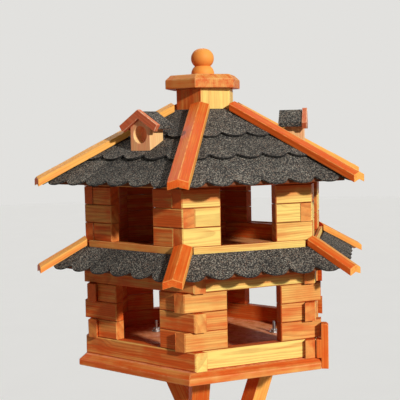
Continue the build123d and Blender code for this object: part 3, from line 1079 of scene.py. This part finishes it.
@dataclass
class FoldedFelt(Timber):
    """The folded felt sheet on a dormer, turned down over the edges of the boards beneath."""

    finish: Finish = FELT
    tone: float = 0.0
    ease: float = 0.0006
    unevenness: float = 0.0004
    turned_down: float = 0.0055
    lower_edge_normals: Pair = (-0.6, -0.45)

    def merged(self, source: bpy.types.Object) -> bmesh.types.BMesh:
        """Copies the CAD mesh and draws its two long lower edges straight down.

        Args:
            source: CAD node's object, which is left as it is.

        Returns:
            The sheet.
        """
        shape = super().merged(source)
        shape.normal_update()
        low, high = self.lower_edge_normals
        for face in [face for face in shape.faces if low < face.normal.z < high]:
            drawn = bmesh.ops.extrude_face_region(shape, geom=[face])["geom"]
            moved = [part for part in drawn if isinstance(part, bmesh.types.BMVert)]
            bmesh.ops.translate(shape, verts=moved, vec=(0, 0, -self.turned_down))
        bmesh.ops.recalc_face_normals(shape, faces=shape.faces)
        return shape


class GrownPiece:
    """A piece that Geometry Nodes make on some points, with its sizes as the tree's named inputs."""

    tree_name: str
    socket_kinds = {
        float: "NodeSocketFloat",
        int: "NodeSocketInt",
        bpy.types.Material: "NodeSocketMaterial",
    }

    def inputs(self) -> dict[str, float | int | bpy.types.Material]:
        """Gives the values of the tree's inputs by name, the material among them."""
        raise NotImplementedError

    def draw(self, graph: Graph, given: dict[str, Output]) -> Output:
        """Draws the tree.

        Args:
            graph: Tree to draw in.
            given: The tree's inputs by name, with the points as Geometry.

        Returns:
            The geometry that the tree makes.
        """
        raise NotImplementedError

    def tree(self) -> bpy.types.NodeTree:
        """Builds the tree once, and gives the same one back after that.

        Returns:
            The tree.
        """
        found = bpy.data.node_groups.get(self.tree_name)
        if found:
            return found
        made = bpy.data.node_groups.new(self.tree_name, "GeometryNodeTree")
        for way in ("OUTPUT", "INPUT"):
            made.interface.new_socket(name="Geometry", in_out=way, socket_type="NodeSocketGeometry")
        for name, value in self.inputs().items():
            kind = self.socket_kinds[type(value)]
            made.interface.new_socket(name=name, in_out="INPUT", socket_type=kind)
        graph = Graph(made)
        source = graph.node("NodeGroupInput")
        given = {socket.name: Output(graph, socket) for socket in source.outputs if socket.name}
        real = graph.get("GeometryNodeRealizeInstances", {0: self.draw(graph, given)})
        finished = graph.get("GeometryNodeSetMaterial", {"Geometry": real, "Material": given["Material"]})
        graph.node("NodeGroupOutput", {0: finished})
        return made

    def bake(self, name: str, points: bpy.types.Mesh) -> bpy.types.Object:
        """Runs the tree on some points and keeps the result as a plain mesh.

        Args:
            name: Name of the finished piece.
            points: Mesh whose vertices say where the copies go.

        Returns:
            The finished object, with no modifier.
        """
        tree = self.tree()
        values = self.inputs()
        carrier = new_object(f"{name}_points", points)
        modifier = carrier.modifiers.new(self.tree_name, "NODES")
        modifier.node_group = tree
        for item in tree.interface.items_tree:
            if item.in_out == "INPUT" and item.name in values:
                modifier[item.identifier] = values[item.name]
        carrier.update_tag()
        bpy.context.view_layer.update()
        evaluated = carrier.evaluated_get(bpy.context.evaluated_depsgraph_get())
        mesh = bpy.data.meshes.new_from_object(evaluated)
        bpy.data.objects.remove(carrier)
        mesh.name = name
        return new_object(name, mesh)


@dataclass(frozen=True)
class RoofPlane:
    """Where a roof's boards lie: at a slope, through a line at the wall, turned with their storey."""

    slope: float
    wall_line: float
    wall_height: float
    turn: float = 0.0
    board_thickness: float = 0.007


@dataclass(frozen=True)
class RowFit:
    """How a row of felt lies on what is beneath it, and how its tabs lift, hang and end."""

    lift: float
    tab_lift: float
    tab_droop: float
    bare_edge: float


EAVE_ROW = RowFit(lift=SEAT_GAP, tab_lift=0.0003, tab_droop=0.0008, bare_edge=0.6)
UPPER_ROW = RowFit(lift=0.0042, tab_lift=0.0012, tab_droop=0.0, bare_edge=1.0)


@dataclass
class ShingleRow(GrownPiece):
    """One row of felt shingles round a roof: six sheets with rounded tabs along their lower edges."""

    node: str
    plane: RoofPlane
    eave_apothem: float
    top_apothem: float
    fit: RowFit
    tab_phase: float
    seed: int
    tab_pitch: float = 0.0465
    tab_depth: float = 0.0135
    thickness: float = 0.0028
    mitre_gap: float = 0.0003
    cells_a_tab: int = 18
    cells_up: int = 9
    crowding: float = 1.7
    cusp: Pair = (2.4, 3.0)
    depth_spread: Pair = (-0.0008, 0.0008)
    edge_spread: Pair = (-0.0005, 0.0007)
    ripples_a_metre: float = 42.0
    wall_shift: float = 3.7
    curl_share: float = 0.35
    droop_reach: float = 0.013
    seam_join: float = 2e-5
    rim_join: float = 1e-5

    tree_name = "shingle_row"

    def inputs(self) -> dict[str, float | int | bpy.types.Material]:
        """Works out where the row lies, so that its top edge touches the boards and its eave is lifted.

        Returns:
            The values of the tree's inputs by name.
        """
        slope, lift = self.plane.slope, self.fit.lift
        clear = self.top_apothem + self.thickness * math.sin(slope)
        tilt = slope - math.asin(lift * math.cos(slope) / (self.eave_apothem - clear))
        run = self.plane.wall_line - self.eave_apothem
        beneath = self.plane.board_thickness + SEAT_GAP
        eave_height = self.plane.wall_height + run * math.tan(slope) + (beneath + lift) / math.cos(slope)
        tabs = 2 * self.eave_apothem * HALF_SIDE / self.tab_pitch
        return {
            "Eave apothem": self.eave_apothem,
            "Top apothem": clear,
            "Eave height": eave_height,
            "Tilt": tilt,
            "Turn": self.plane.turn,
            "Tab pitch": self.tab_pitch,
            "Tab depth": self.tab_depth,
            "Tab phase": self.tab_phase,
            "Tab lift": self.fit.tab_lift,
            "Tab droop": self.fit.tab_droop,
            "Thickness": self.thickness,
            "Mitre gap": self.mitre_gap,
            "Bare edge": self.fit.bare_edge,
            "Cells across": int(tabs * self.cells_a_tab),
            "Cells up": self.cells_up,
            "Seed": self.seed,
            "Material": FELT.material(),
        }

    def draw(self, graph: Graph, given: dict[str, Output]) -> Output:
        """Draws one flat grid for each wall, shapes it into a tabbed sheet and gives it thickness.

        Args:
            graph: Tree to draw in.
            given: The tree's inputs by name, with one point a wall as Geometry.

        Returns:
            The six sheets.
        """
        cells = {"Vertices X": given["Cells across"], "Vertices Y": given["Cells up"]}
        grid = graph.get("GeometryNodeMeshGrid", {"Size X": 2.0, "Size Y": 1.0, **cells})
        copies = graph.get("GeometryNodeInstanceOnPoints", {"Points": given["Geometry"], "Instance": grid})
        flat = graph.get("GeometryNodeRealizeInstances", {0: copies})
        wall = graph.get("GeometryNodeInputNamedAttribute", {"Name": "wall"}, data_type="INT")
        side, up, _ = graph.get("GeometryNodeInputPosition").parts()
        sine, cosine = graph.math("SINE", given["Tilt"]), graph.math("COSINE", given["Tilt"])

        width = side * (given["Eave apothem"] * HALF_SIDE)
        share = graph.math("ADD", up, 0.5, clamp=True) ** self.crowding
        shifted = (width - given["Tab phase"]) / given["Tab pitch"]
        tab = graph.math("FLOOR", shifted)

        def chance(between: Pair, salt: int) -> Output:
            """Draws a number for each tab.

            Args:
                between: Least and greatest value.
                salt: Number that keeps one use apart from the next.

            Returns:
                The drawn numbers.
            """
            spot = wall * WALL_STEP + (tab + USE_STEP * salt)
            values = {2: between[0], 3: between[1], "ID": spot, "Seed": given["Seed"]}
            return graph.get("FunctionNodeRandomValue", values, 1, data_type="FLOAT")

        from_middle = graph.math("ABSOLUTE", graph.math("FRACT", shifted) * 2.0 - 1.0)
        depth = given["Tab depth"] + chance(self.depth_spread, 2)
        lower = from_middle ** chance(self.cusp, 1) * depth + chance(self.edge_spread, 3)
        climb = graph.blend(share, lower, (given["Eave apothem"] - given["Top apothem"]) / cosine)
        out = given["Eave apothem"] - climb * cosine
        height = given["Eave height"] + climb * sine
        limit = out * HALF_SIDE - given["Mitre gap"]
        held = graph.math("MAXIMUM", graph.math("MINIMUM", width, limit), limit * -1.0)

        rippled = graph.noise(graph.combine(width, climb, wall * self.wall_shift), self.ripples_a_metre)
        curl = from_middle * (given["Tab lift"] * self.curl_share)
        raised = chance((0.0, 1.0), 4) * given["Tab lift"] + curl
        hanging = graph.math("SUBTRACT", 1.0, climb / self.droop_reach, clamp=True) ** 2.0
        above = (raised + rippled * given["Tab lift"]) * (1.0 - share) ** 3.0 - hanging * given["Tab droop"]
        place = graph.combine(held, (out + above * sine) * -1.0, height + above * cosine)
        angle = wall * math.radians(60) + given["Turn"]
        turned = graph.get(
            "ShaderNodeVectorRotate", {"Vector": place, "Angle": angle}, rotation_type="Z_AXIS"
        )

        toned = graph.get(
            "GeometryNodeStoreNamedAttribute",
            {"Geometry": flat, "Name": TONE, "Value": chance((-1.0, 1.0), 5)},
            data_type="FLOAT",
            domain="POINT",
        )
        shaped = graph.get("GeometryNodeSetPosition", {"Geometry": toned, "Position": turned})
        seams = {"Geometry": shaped, "Distance": self.seam_join}
        merged = graph.get("GeometryNodeMergeByDistance", seams)
        extruded = graph.node(
            "GeometryNodeExtrudeMesh",
            {"Mesh": merged, "Offset Scale": given["Thickness"], "Individual": False},
        )
        raised_mesh, rim = (Output(graph, extruded.outputs[name]) for name in ("Mesh", "Side"))
        underside = graph.get("GeometryNodeFlipFaces", {0: merged})

        def bare(geometry: Output, which: Output | bool) -> Output:
            """Marks faces that show bitumen with no stone on it."""
            values = {"Geometry": geometry, "Selection": which, "Name": WORN, "Value": given["Bare edge"]}
            return graph.get("GeometryNodeStoreNamedAttribute", values, data_type="FLOAT", domain="FACE")

        joined = graph.join([bare(raised_mesh, rim), bare(underside, True)])
        return graph.get("GeometryNodeMergeByDistance", {"Geometry": joined, "Distance": self.rim_join})

    def build(self) -> bpy.types.Object:
        """Makes the row as one piece, in place of its CAD sheets.

        Returns:
            The finished object.
        """
        walls = list(range(6))
        points = bpy.data.meshes.new("walls")
        points.from_pydata([(0.0, 0.0, 0.0)] * len(walls), [], [])
        points.attributes.new("wall", "INT", "POINT").data.foreach_set("value", walls)
        return declare(self.bake(f"{self.node}_felt", points), "shingle_felt", self.node)


@dataclass
class Bolts(GrownPiece):
    """Bolts that stand out of a surface: a washer, a hexagonal nut and a shank with a rounded end."""

    name: str
    places: list[tuple[Vector, Vector]]
    slot: str
    shank_length: float = 0.020
    shank_radius: float = 0.0030
    shank_sides: int = 16
    tip_radius_share: float = 0.62
    tip_height_share: float = 0.45
    nut_radius: float = 0.0066
    nut_height: float = 0.0050
    washer_radius: float = 0.0085
    washer_height: float = 0.0014
    washer_sides: int = 24

    tree_name = "bolts"

    def inputs(self) -> dict[str, float | int | bpy.types.Material]:
        """Gives the sizes of a bolt and its material.

        Returns:
            The values of the tree's inputs by name.
        """
        return {
            "Shank radius": self.shank_radius,
            "Shank length": self.shank_length,
            "Nut radius": self.nut_radius,
            "Nut height": self.nut_height,
            "Washer radius": self.washer_radius,
            "Washer height": self.washer_height,
            "Material": ZINC.material(),
        }

    def draw(self, graph: Graph, given: dict[str, Output]) -> Output:
        """Draws one bolt and stands a copy of it on each point, along the point's aim.

        Args:
            graph: Tree to draw in.
            given: The tree's inputs by name, with the points as Geometry.

        Returns:
            The bolts.
        """

        def raised(geometry: Output, height: Value) -> Output:
            """Lifts a shape."""
            values = {"Geometry": geometry, "Translation": graph.combine(0.0, 0.0, height)}
            return graph.get("GeometryNodeTransform", values)

        def cylinder(part: str, height: Output, sides: int, base: float | Output = 0.0) -> Output:
            """Draws a round or many-sided part on its base."""
            values = {"Vertices": sides, "Radius": given[f"{part} radius"], "Depth": height}
            return raised(graph.get("GeometryNodeMeshCylinder", values, "Mesh"), height * 0.5 + base)

        radius = given["Shank radius"]
        sizes = {
            "Vertices": self.shank_sides,
            "Radius Bottom": radius,
            "Radius Top": radius * self.tip_radius_share,
            "Depth": radius * self.tip_height_share,
        }
        tip = graph.get("GeometryNodeMeshCone", sizes, "Mesh")
        bolt = graph.join(
            [
                cylinder("Washer", given["Washer height"], self.washer_sides),
                cylinder("Nut", given["Nut height"], 6, given["Washer height"]),
                cylinder("Shank", given["Shank length"], self.shank_sides),
                raised(tip, given["Shank length"]),
            ]
        )
        aim = graph.get("GeometryNodeInputNamedAttribute", {"Name": "aim"}, data_type="FLOAT_VECTOR")
        turn = graph.get("FunctionNodeAlignRotationToVector", {"Vector": aim}, axis="Z")
        values = {"Points": given["Geometry"], "Instance": bolt, "Rotation": turn}
        return graph.get("GeometryNodeInstanceOnPoints", values)

    def build(self) -> bpy.types.Object:
        """Makes the bolts as one piece.

        Returns:
            The finished object.
        """
        points = bpy.data.meshes.new(f"{self.name}_points")
        points.from_pydata([tuple(place) for place, _ in self.places], [], [])
        aims = [number for _, aim in self.places for number in aim]
        points.attributes.new("aim", "FLOAT_VECTOR", "POINT").data.foreach_set("vector", aims)
        return declare(self.bake(self.name, points), self.slot)


@dataclass
class Storey:
    """A storey's log walls: the ring of sill logs, the corner stacks and the ring of top logs.

    Each pair of end bleaches, which are partly painted light, is for the left-hand and the right-hand half
    of the feeder.
    """

    name: str
    ring_bleach_and_light: float
    bleach_and_light: float
    end_bleach_and_light: Pair
    eave_height: float
    seed: int
    sill_end_bleach_and_light: Pair = (0.9, 0.2)
    top_end_bleach_and_light: Pair = (0.25, 0.2)

    def timbers(self) -> list[Timber]:
        """Lists the storey's timbers.

        Returns:
            The sill logs, the top logs and the six stacks.
        """
        bleaches_and_light = {
            "sill_logs": (self.ring_bleach_and_light, self.sill_end_bleach_and_light),
            "top_logs": (self.ring_bleach_and_light, self.top_end_bleach_and_light),
            **{f"corner_logs_{corner}": (self.bleach_and_light, self.end_bleach_and_light) for corner in range(1, 7)},
        }
        return [
            Timber(
                f"{self.name}_{part}",
                "log_wood",
                tone=0.03,
                tone_spread=0.09,
                bleach_and_light=bleach_and_light,
                end_bleach_and_light=ends,
                sheltered_and_shaded_within=True,
                eave_height=self.eave_height,
                ease=0.0007,
                unevenness=0.0004,
                seed=self.seed,
            )
            for part, (bleach_and_light, ends) in bleaches_and_light.items()
        ]


class RowPlace(NamedTuple):
    """Where one row of felt starts and ends on its roof, how it lies and where its tabs are."""

    eave_apothem: float
    top_apothem: float
    fit: RowFit
    tab_phase: float


@dataclass
class Roof:
    """A hexagonal roof: its boards, its rows of shingle and the angle battens over its hips."""

    name: str
    plane: RoofPlane
    rows: dict[str, RowPlace]
    side_bleach_and_light: float

    def timbers(self) -> list[Timber]:
        """Lists the roof's boards and its hip battens.

        Returns:
            The timbers.
        """
        boards = Timber(
            f"{self.name}_boards", "board_wood", SHADE_DARK_BOARD, tone=0.1, bleach_and_light=0.1, wear=0.1, ease=0.0010
        )
        battens = Timber(
            f"{self.name}_hip_battens",
            "board_wood",
            DEEP_STAINED,
            tone=0.0,
            tone_spread=0.06,
            bleach_and_light=0.10,
            side_bleach_and_light=self.side_bleach_and_light,
            wear=0.6,
            ease=0.0010,
            unevenness=0.0005,
        )
        return [boards, battens]

    def shingles(self) -> list[ShingleRow]:
        """Lists the roof's rows of shingle from the eave up."""
        rows = enumerate(self.rows.items(), start=11)
        return [ShingleRow(node, self.plane, *place, seed=seed) for seed, (node, place) in rows]


@dataclass
class Dormer:
    """A small house-shaped dormer."""

    number: int

    def timbers(self) -> list[Timber]:
        """Lists the dormer's house, its roof boards and the felt sheet over them.

        Returns:
            The pieces.
        """
        name = f"dormer_{self.number}"
        return [
            Timber(
                f"{name}_house", "board_wood", PALE, tone=0.1, bleach_and_light=0.95, ease=0.0007, unevenness=0.0002
            ),
            Timber(
                f"{name}_roof",
                "board_wood",
                GABLE,
                tone=0.0,
                bleach_and_light=0.4,
                wear=0.9,
                ease=0.0010,
                unevenness=0.0003,
            ),
            FoldedFelt(f"{name}_shingles", "shingle_felt"),
        ]


@dataclass
class Stand:
    """The crossed stand with its block, and the bolts that hold it to the base plate."""

    painted_lit_leg: int = 2
    bolt_inset: float = 0.007

    def timbers(self) -> list[Timber]:
        """Lists the legs and the block between them.

        Returns:
            The timbers.
        """
        # The leg that the light falls on is painted paler, as painted light as well as sun bleaching.
        legs = [
            Timber(
                f"stand_leg_{number}",
                "stand_wood",
                DEEP_STAINED,
                tone=0.02,
                tone_spread=0.04,
                bleach_and_light=0.9 if number == self.painted_lit_leg else 0.15,
                wear=0.45,
                ease=0.0014,
                unevenness=0.0004,
                slices=0.03,
            )
            for number in (1, 2, 3)
        ]
        return [*legs, Timber("stand_centre_block", "stand_wood", tone=0.1, ease=0.0012)]

    def bolts(self) -> list[Bolts]:
        """Lists the bolts through the base plate and those through the legs into the block.

        Returns:
            The two sets of bolts.
        """
        floor_bolts, block_bolts = [], []
        run = math.sqrt(LEG_TOP_RADIUS**2 - LEG_AXIS_DISTANCE**2)
        crossing = Vector((0, 0, STAND_HEIGHT - run / math.tan(LEG_LEAN)))
        for azimuth in LEG_AZIMUTHS:
            place = outward(math.radians(azimuth), LEG_TOP_RADIUS + self.bolt_inset, PLATE_TOP)
            floor_bolts.append((place, Vector((0, 0, 1))))
            towards = math.radians(azimuth + 180) + math.asin(LEG_AXIS_DISTANCE / LEG_TOP_RADIUS)
            nearest = outward(math.radians(azimuth), LEG_TOP_RADIUS) + outward(towards, run)
            aim = nearest.normalized()
            block_bolts.append((nearest + aim * LEG_SIZE / 2 + crossing, aim))
        return [
            Bolts("base_plate_bolts", floor_bolts, "stand_wood"),
            Bolts("centre_block_bolts", block_bolts, "stand_wood", shank_length=0.0075),
        ]


class Lamp(NamedTuple):
    """A soft far-off lamp, with its angles and its softness in degrees."""

    azimuth: float
    elevation: float
    strength: float
    softness: float


LAMPS = {
    "key": Lamp(azimuth=12.0, elevation=22.0, strength=3.5, softness=3.0),
    "fill": Lamp(azimuth=-70.0, elevation=30.0, strength=0.10, softness=60.0),
    "back": Lamp(azimuth=170.0, elevation=45.0, strength=0.8, softness=40.0),
}


@dataclass
class Studio:
    """The camera at the photograph's angle, soft lamps and a plain pale floor."""

    azimuth: float = math.radians(-22.04)
    distance: float = 1.638
    eye_height: float = STAND_HEIGHT + 0.3988
    pitch: float = math.radians(4.29)
    roll: float = math.radians(1.22)
    focal_pixels: float = 901.5
    centre_pixel: float = 207.28
    frame_pixels: int = 400
    sensor: float = 36.0
    clip: Pair = (0.05, 60.0)
    floor_radius: float = 14.0
    world_colour: Colour = (1.0, 0.99, 0.963)
    world_light: float = 0.15
    world_shown: float = 0.76

    def place_camera(self) -> None:
        """Puts the camera where the photograph was taken from."""
        data = bpy.data.cameras.new("camera")
        data.sensor_width = self.sensor
        data.lens = self.focal_pixels / self.frame_pixels * self.sensor
        data.shift_x = (self.frame_pixels / 2 - self.centre_pixel) / self.frame_pixels
        data.clip_start, data.clip_end = self.clip
        level = Vector((-math.sin(self.azimuth), math.cos(self.azimuth), 0.0))
        ahead = level * math.cos(self.pitch) - Vector((0, 0, math.sin(self.pitch)))
        right = Vector((math.cos(self.azimuth), math.sin(self.azimuth), 0.0))
        up = right.cross(ahead)
        rolled_right = right * math.cos(self.roll) - up * math.sin(self.roll)
        rolled_up = right * math.sin(self.roll) + up * math.cos(self.roll)
        turn = Matrix((rolled_right, rolled_up, -ahead)).transposed().to_4x4()
        camera = bpy.data.objects.new("camera", data)
        eye = outward(self.azimuth, self.distance, self.eye_height)
        camera.matrix_world = Matrix.Translation(eye) @ turn
        bpy.context.scene.collection.objects.link(camera)
        bpy.context.scene.camera = camera

    def hang_lamps(self) -> None:
        """Adds the soft lamps."""
        for name, lamp in LAMPS.items():
            data = bpy.data.lights.new(f"{name}_lamp", "SUN")
            data.energy = lamp.strength
            data.angle = math.radians(lamp.softness)
            hung = bpy.data.objects.new(f"{name}_lamp", data)
            source = outward(math.radians(lamp.azimuth), 1.0, math.tan(math.radians(lamp.elevation)))
            hung.rotation_euler = source.to_track_quat("Z", "Y").to_euler()
            bpy.context.scene.collection.objects.link(hung)

    def light_world(self) -> None:
        """Gives the world a soft even light and a pale look to the camera and in reflections."""
        world = bpy.data.worlds.new("studio_world")
        bpy.context.scene.world = world
        world.use_nodes = True
        world.node_tree.nodes.clear()
        graph = Graph(world.node_tree)
        strength = graph.blend(graph.shown(), self.world_light, self.world_shown)
        light = graph.get("ShaderNodeBackground", {"Color": self.world_colour, "Strength": strength})
        graph.node("ShaderNodeOutputWorld", {"Surface": light})

    def lay_floor(self) -> None:
        """Lays the round floor that the feeder stands on."""
        shape = bmesh.new()
        bmesh.ops.create_circle(shape, cap_ends=True, segments=96, radius=self.floor_radius)
        mesh = bpy.data.meshes.new("studio_floor")
        shape.to_mesh(mesh)
        shape.free()
        mesh.materials.append(PALE_FLOOR.material())
        new_object("studio_floor", mesh)

    def build(self) -> None:
        """Sets up the whole studio and plain colour handling."""
        bpy.context.scene.view_settings.view_transform = "Standard"
        self.place_camera()
        self.hang_lamps()
        self.light_world()
        self.lay_floor()


@dataclass
class BirdFeeder:
    """The whole feeder: which timbers, felts and bolts it has, and their order.

    A reach is how far a roof's eave stands out from the walls, and a step how far in a row of felt starts.
    """

    skirt_slope: float = math.radians(31.5)
    skirt_rise: float = 0.0161
    skirt_reach: float = 0.0610
    roof_slope: float = math.radians(29.9)
    roof_reach: float = 0.0634
    row_steps: Pair = (0.059, 0.119)
    lap: float = 0.0155
    # How far below the upper floor and below the walls' top the painted shadow of each eave sets in
    shade_below_floor: float = 0.023
    shade_below_roof: float = 1.25 * COURSE_HEIGHT

    def roofs(self) -> list[Roof]:
        """Lists the skirt roof and the main roof, with their rows of shingle.

        Returns:
            The two roofs.
        """
        collar_line = COLLAR_CORNER_RADIUS * math.cos(math.radians(30)) + SEAT_GAP
        trim_line = WALL_APOTHEM + SEAT_GAP + TRIM_THICKNESS + SEAT_GAP
        eave = WALL_APOTHEM + self.roof_reach
        first, second = self.row_steps
        skirt = Roof(
            "skirt",
            RoofPlane(self.skirt_slope, WALL_APOTHEM, UPPER_FLOOR_TOP + self.skirt_rise, UPPER_TURN),
            {"skirt_shingles": RowPlace(WALL_APOTHEM + self.skirt_reach, trim_line, EAVE_ROW, 0.0)},
            side_bleach_and_light=0.7,
        )
        wall_line = WALL_CORNER_RADIUS * math.cos(math.radians(30) + UPPER_TURN)
        main_roof = Roof(
            "roof",
            RoofPlane(self.roof_slope, wall_line, WALLS_TOP + SEAT_GAP),
            {
                "roof_shingle_row_1": RowPlace(eave, eave - first - self.lap, EAVE_ROW, -0.0085),
                "roof_shingle_row_2": RowPlace(eave - first, eave - second - self.lap, UPPER_ROW, 0.021),
                "roof_shingle_row_3": RowPlace(eave - second, collar_line, UPPER_ROW, 0.021),
            },
            side_bleach_and_light=0.95,
        )
        return [skirt, main_roof]

    def boards(self) -> list[Timber]:
        """Lists the floors, the side board, the lath and the pieces at the top.

        Returns:
            The timbers.
        """
        floor = {"slot": "floor_wood", "finish": FLOORING, "tone_spread": 0.02, "run": GrainRun.AROUND}
        base = Timber("base_plate", **floor, tone=0.05, bleach_and_light=0.14, wear=0.3, trodden_and_lit=0.95, ease=0.0012)
        side_board = Timber(
            "side_board",
            "side_board_wood",
            DEEP_STAINED,
            tone=0.05,
            tone_spread=0.02,
            bleach_and_light=0.15,
            wear=0.4,
            ease=0.0009,
        )
        upper_floor = Timber("upper_floor", **floor, tone=0.10, bleach_and_light=0.20, wear=0.4, trodden_and_lit=0.6)
        lath = Timber(
            "skirt_trim",
            "trim_wood",
            PLANED,
            tone=0.16,
            tone_spread=0.06,
            bleach_and_light=1.05,
            sheltered_and_shaded_within=True,
            wear=0.3,
            ease=0.0009,
            unevenness=0.0004,
        )
        top = {"slot": "board_wood", "finish": PLANED, "tone_spread": 0.0, "wear": 0.3}
        collar = Timber("collar", **top, tone=-0.04, bleach_and_light=1.2, ease=0.0009, run=GrainRun.UPRIGHT)
        cap = Timber("cap", **top, tone=0.08, bleach_and_light=0.24, ease=0.0014, unevenness=0.0003)
        finial = TurnedTimber(
            "finial",
            "turned_wood",
            TURNED,
            tone=0.25,
            tone_spread=0.0,
            bleach_and_light=0.45,
            wear=0.2,
            ease=0.0004,
            run=GrainRun.UPRIGHT,
        )
        return [base, side_board, upper_floor, lath, collar, cap, finial]

    def storeys(self) -> list[Storey]:
        """Lists the two storeys.

        Returns:
            The lower storey and the upper storey.
        """
        lower = Storey(
            "lower",
            ring_bleach_and_light=1.45,
            bleach_and_light=0.52,
            end_bleach_and_light=(0.7, 0.4),
            eave_height=UPPER_FLOOR_TOP - self.shade_below_floor,
            seed=3,
        )
        upper = Storey(
            "upper",
            ring_bleach_and_light=1.25,
            bleach_and_light=1.25,
            end_bleach_and_light=(0.15, 0.15),
            eave_height=WALLS_TOP - self.shade_below_roof,
            seed=5,
        )
        return [lower, upper]

    def build(self, nodes: dict[str, bpy.types.Object]) -> Iterator[bpy.types.Object]:
        """Makes every piece around the CAD frame.

        Args:
            nodes: The CAD nodes' objects by name.

        Yields:
            Each finished piece.
        """
        dormers = [Dormer(number) for number in (1, 2, 3)]
        timbers = self.boards()
        for group in (*self.storeys(), *self.roofs(), *dormers, Stand()):
            timbers += group.timbers()
        for timber in timbers:
            yield timber.build(nodes[timber.node])
        for roof in self.roofs():
            for row in roof.shingles():
                yield row.build()
        for bolts in Stand().bolts():
            yield bolts.build()


def main() -> None:
    """Loads the frame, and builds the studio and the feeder."""
    logging.basicConfig(level=logging.INFO, format="%(name)s %(message)s")
    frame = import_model()
    Studio().build()
    for piece in BirdFeeder().build(frame["nodes"]):
        log.info("%s: %d faces", piece.name, len(piece.data.polygons))


if __name__ == "__main__":
    main()
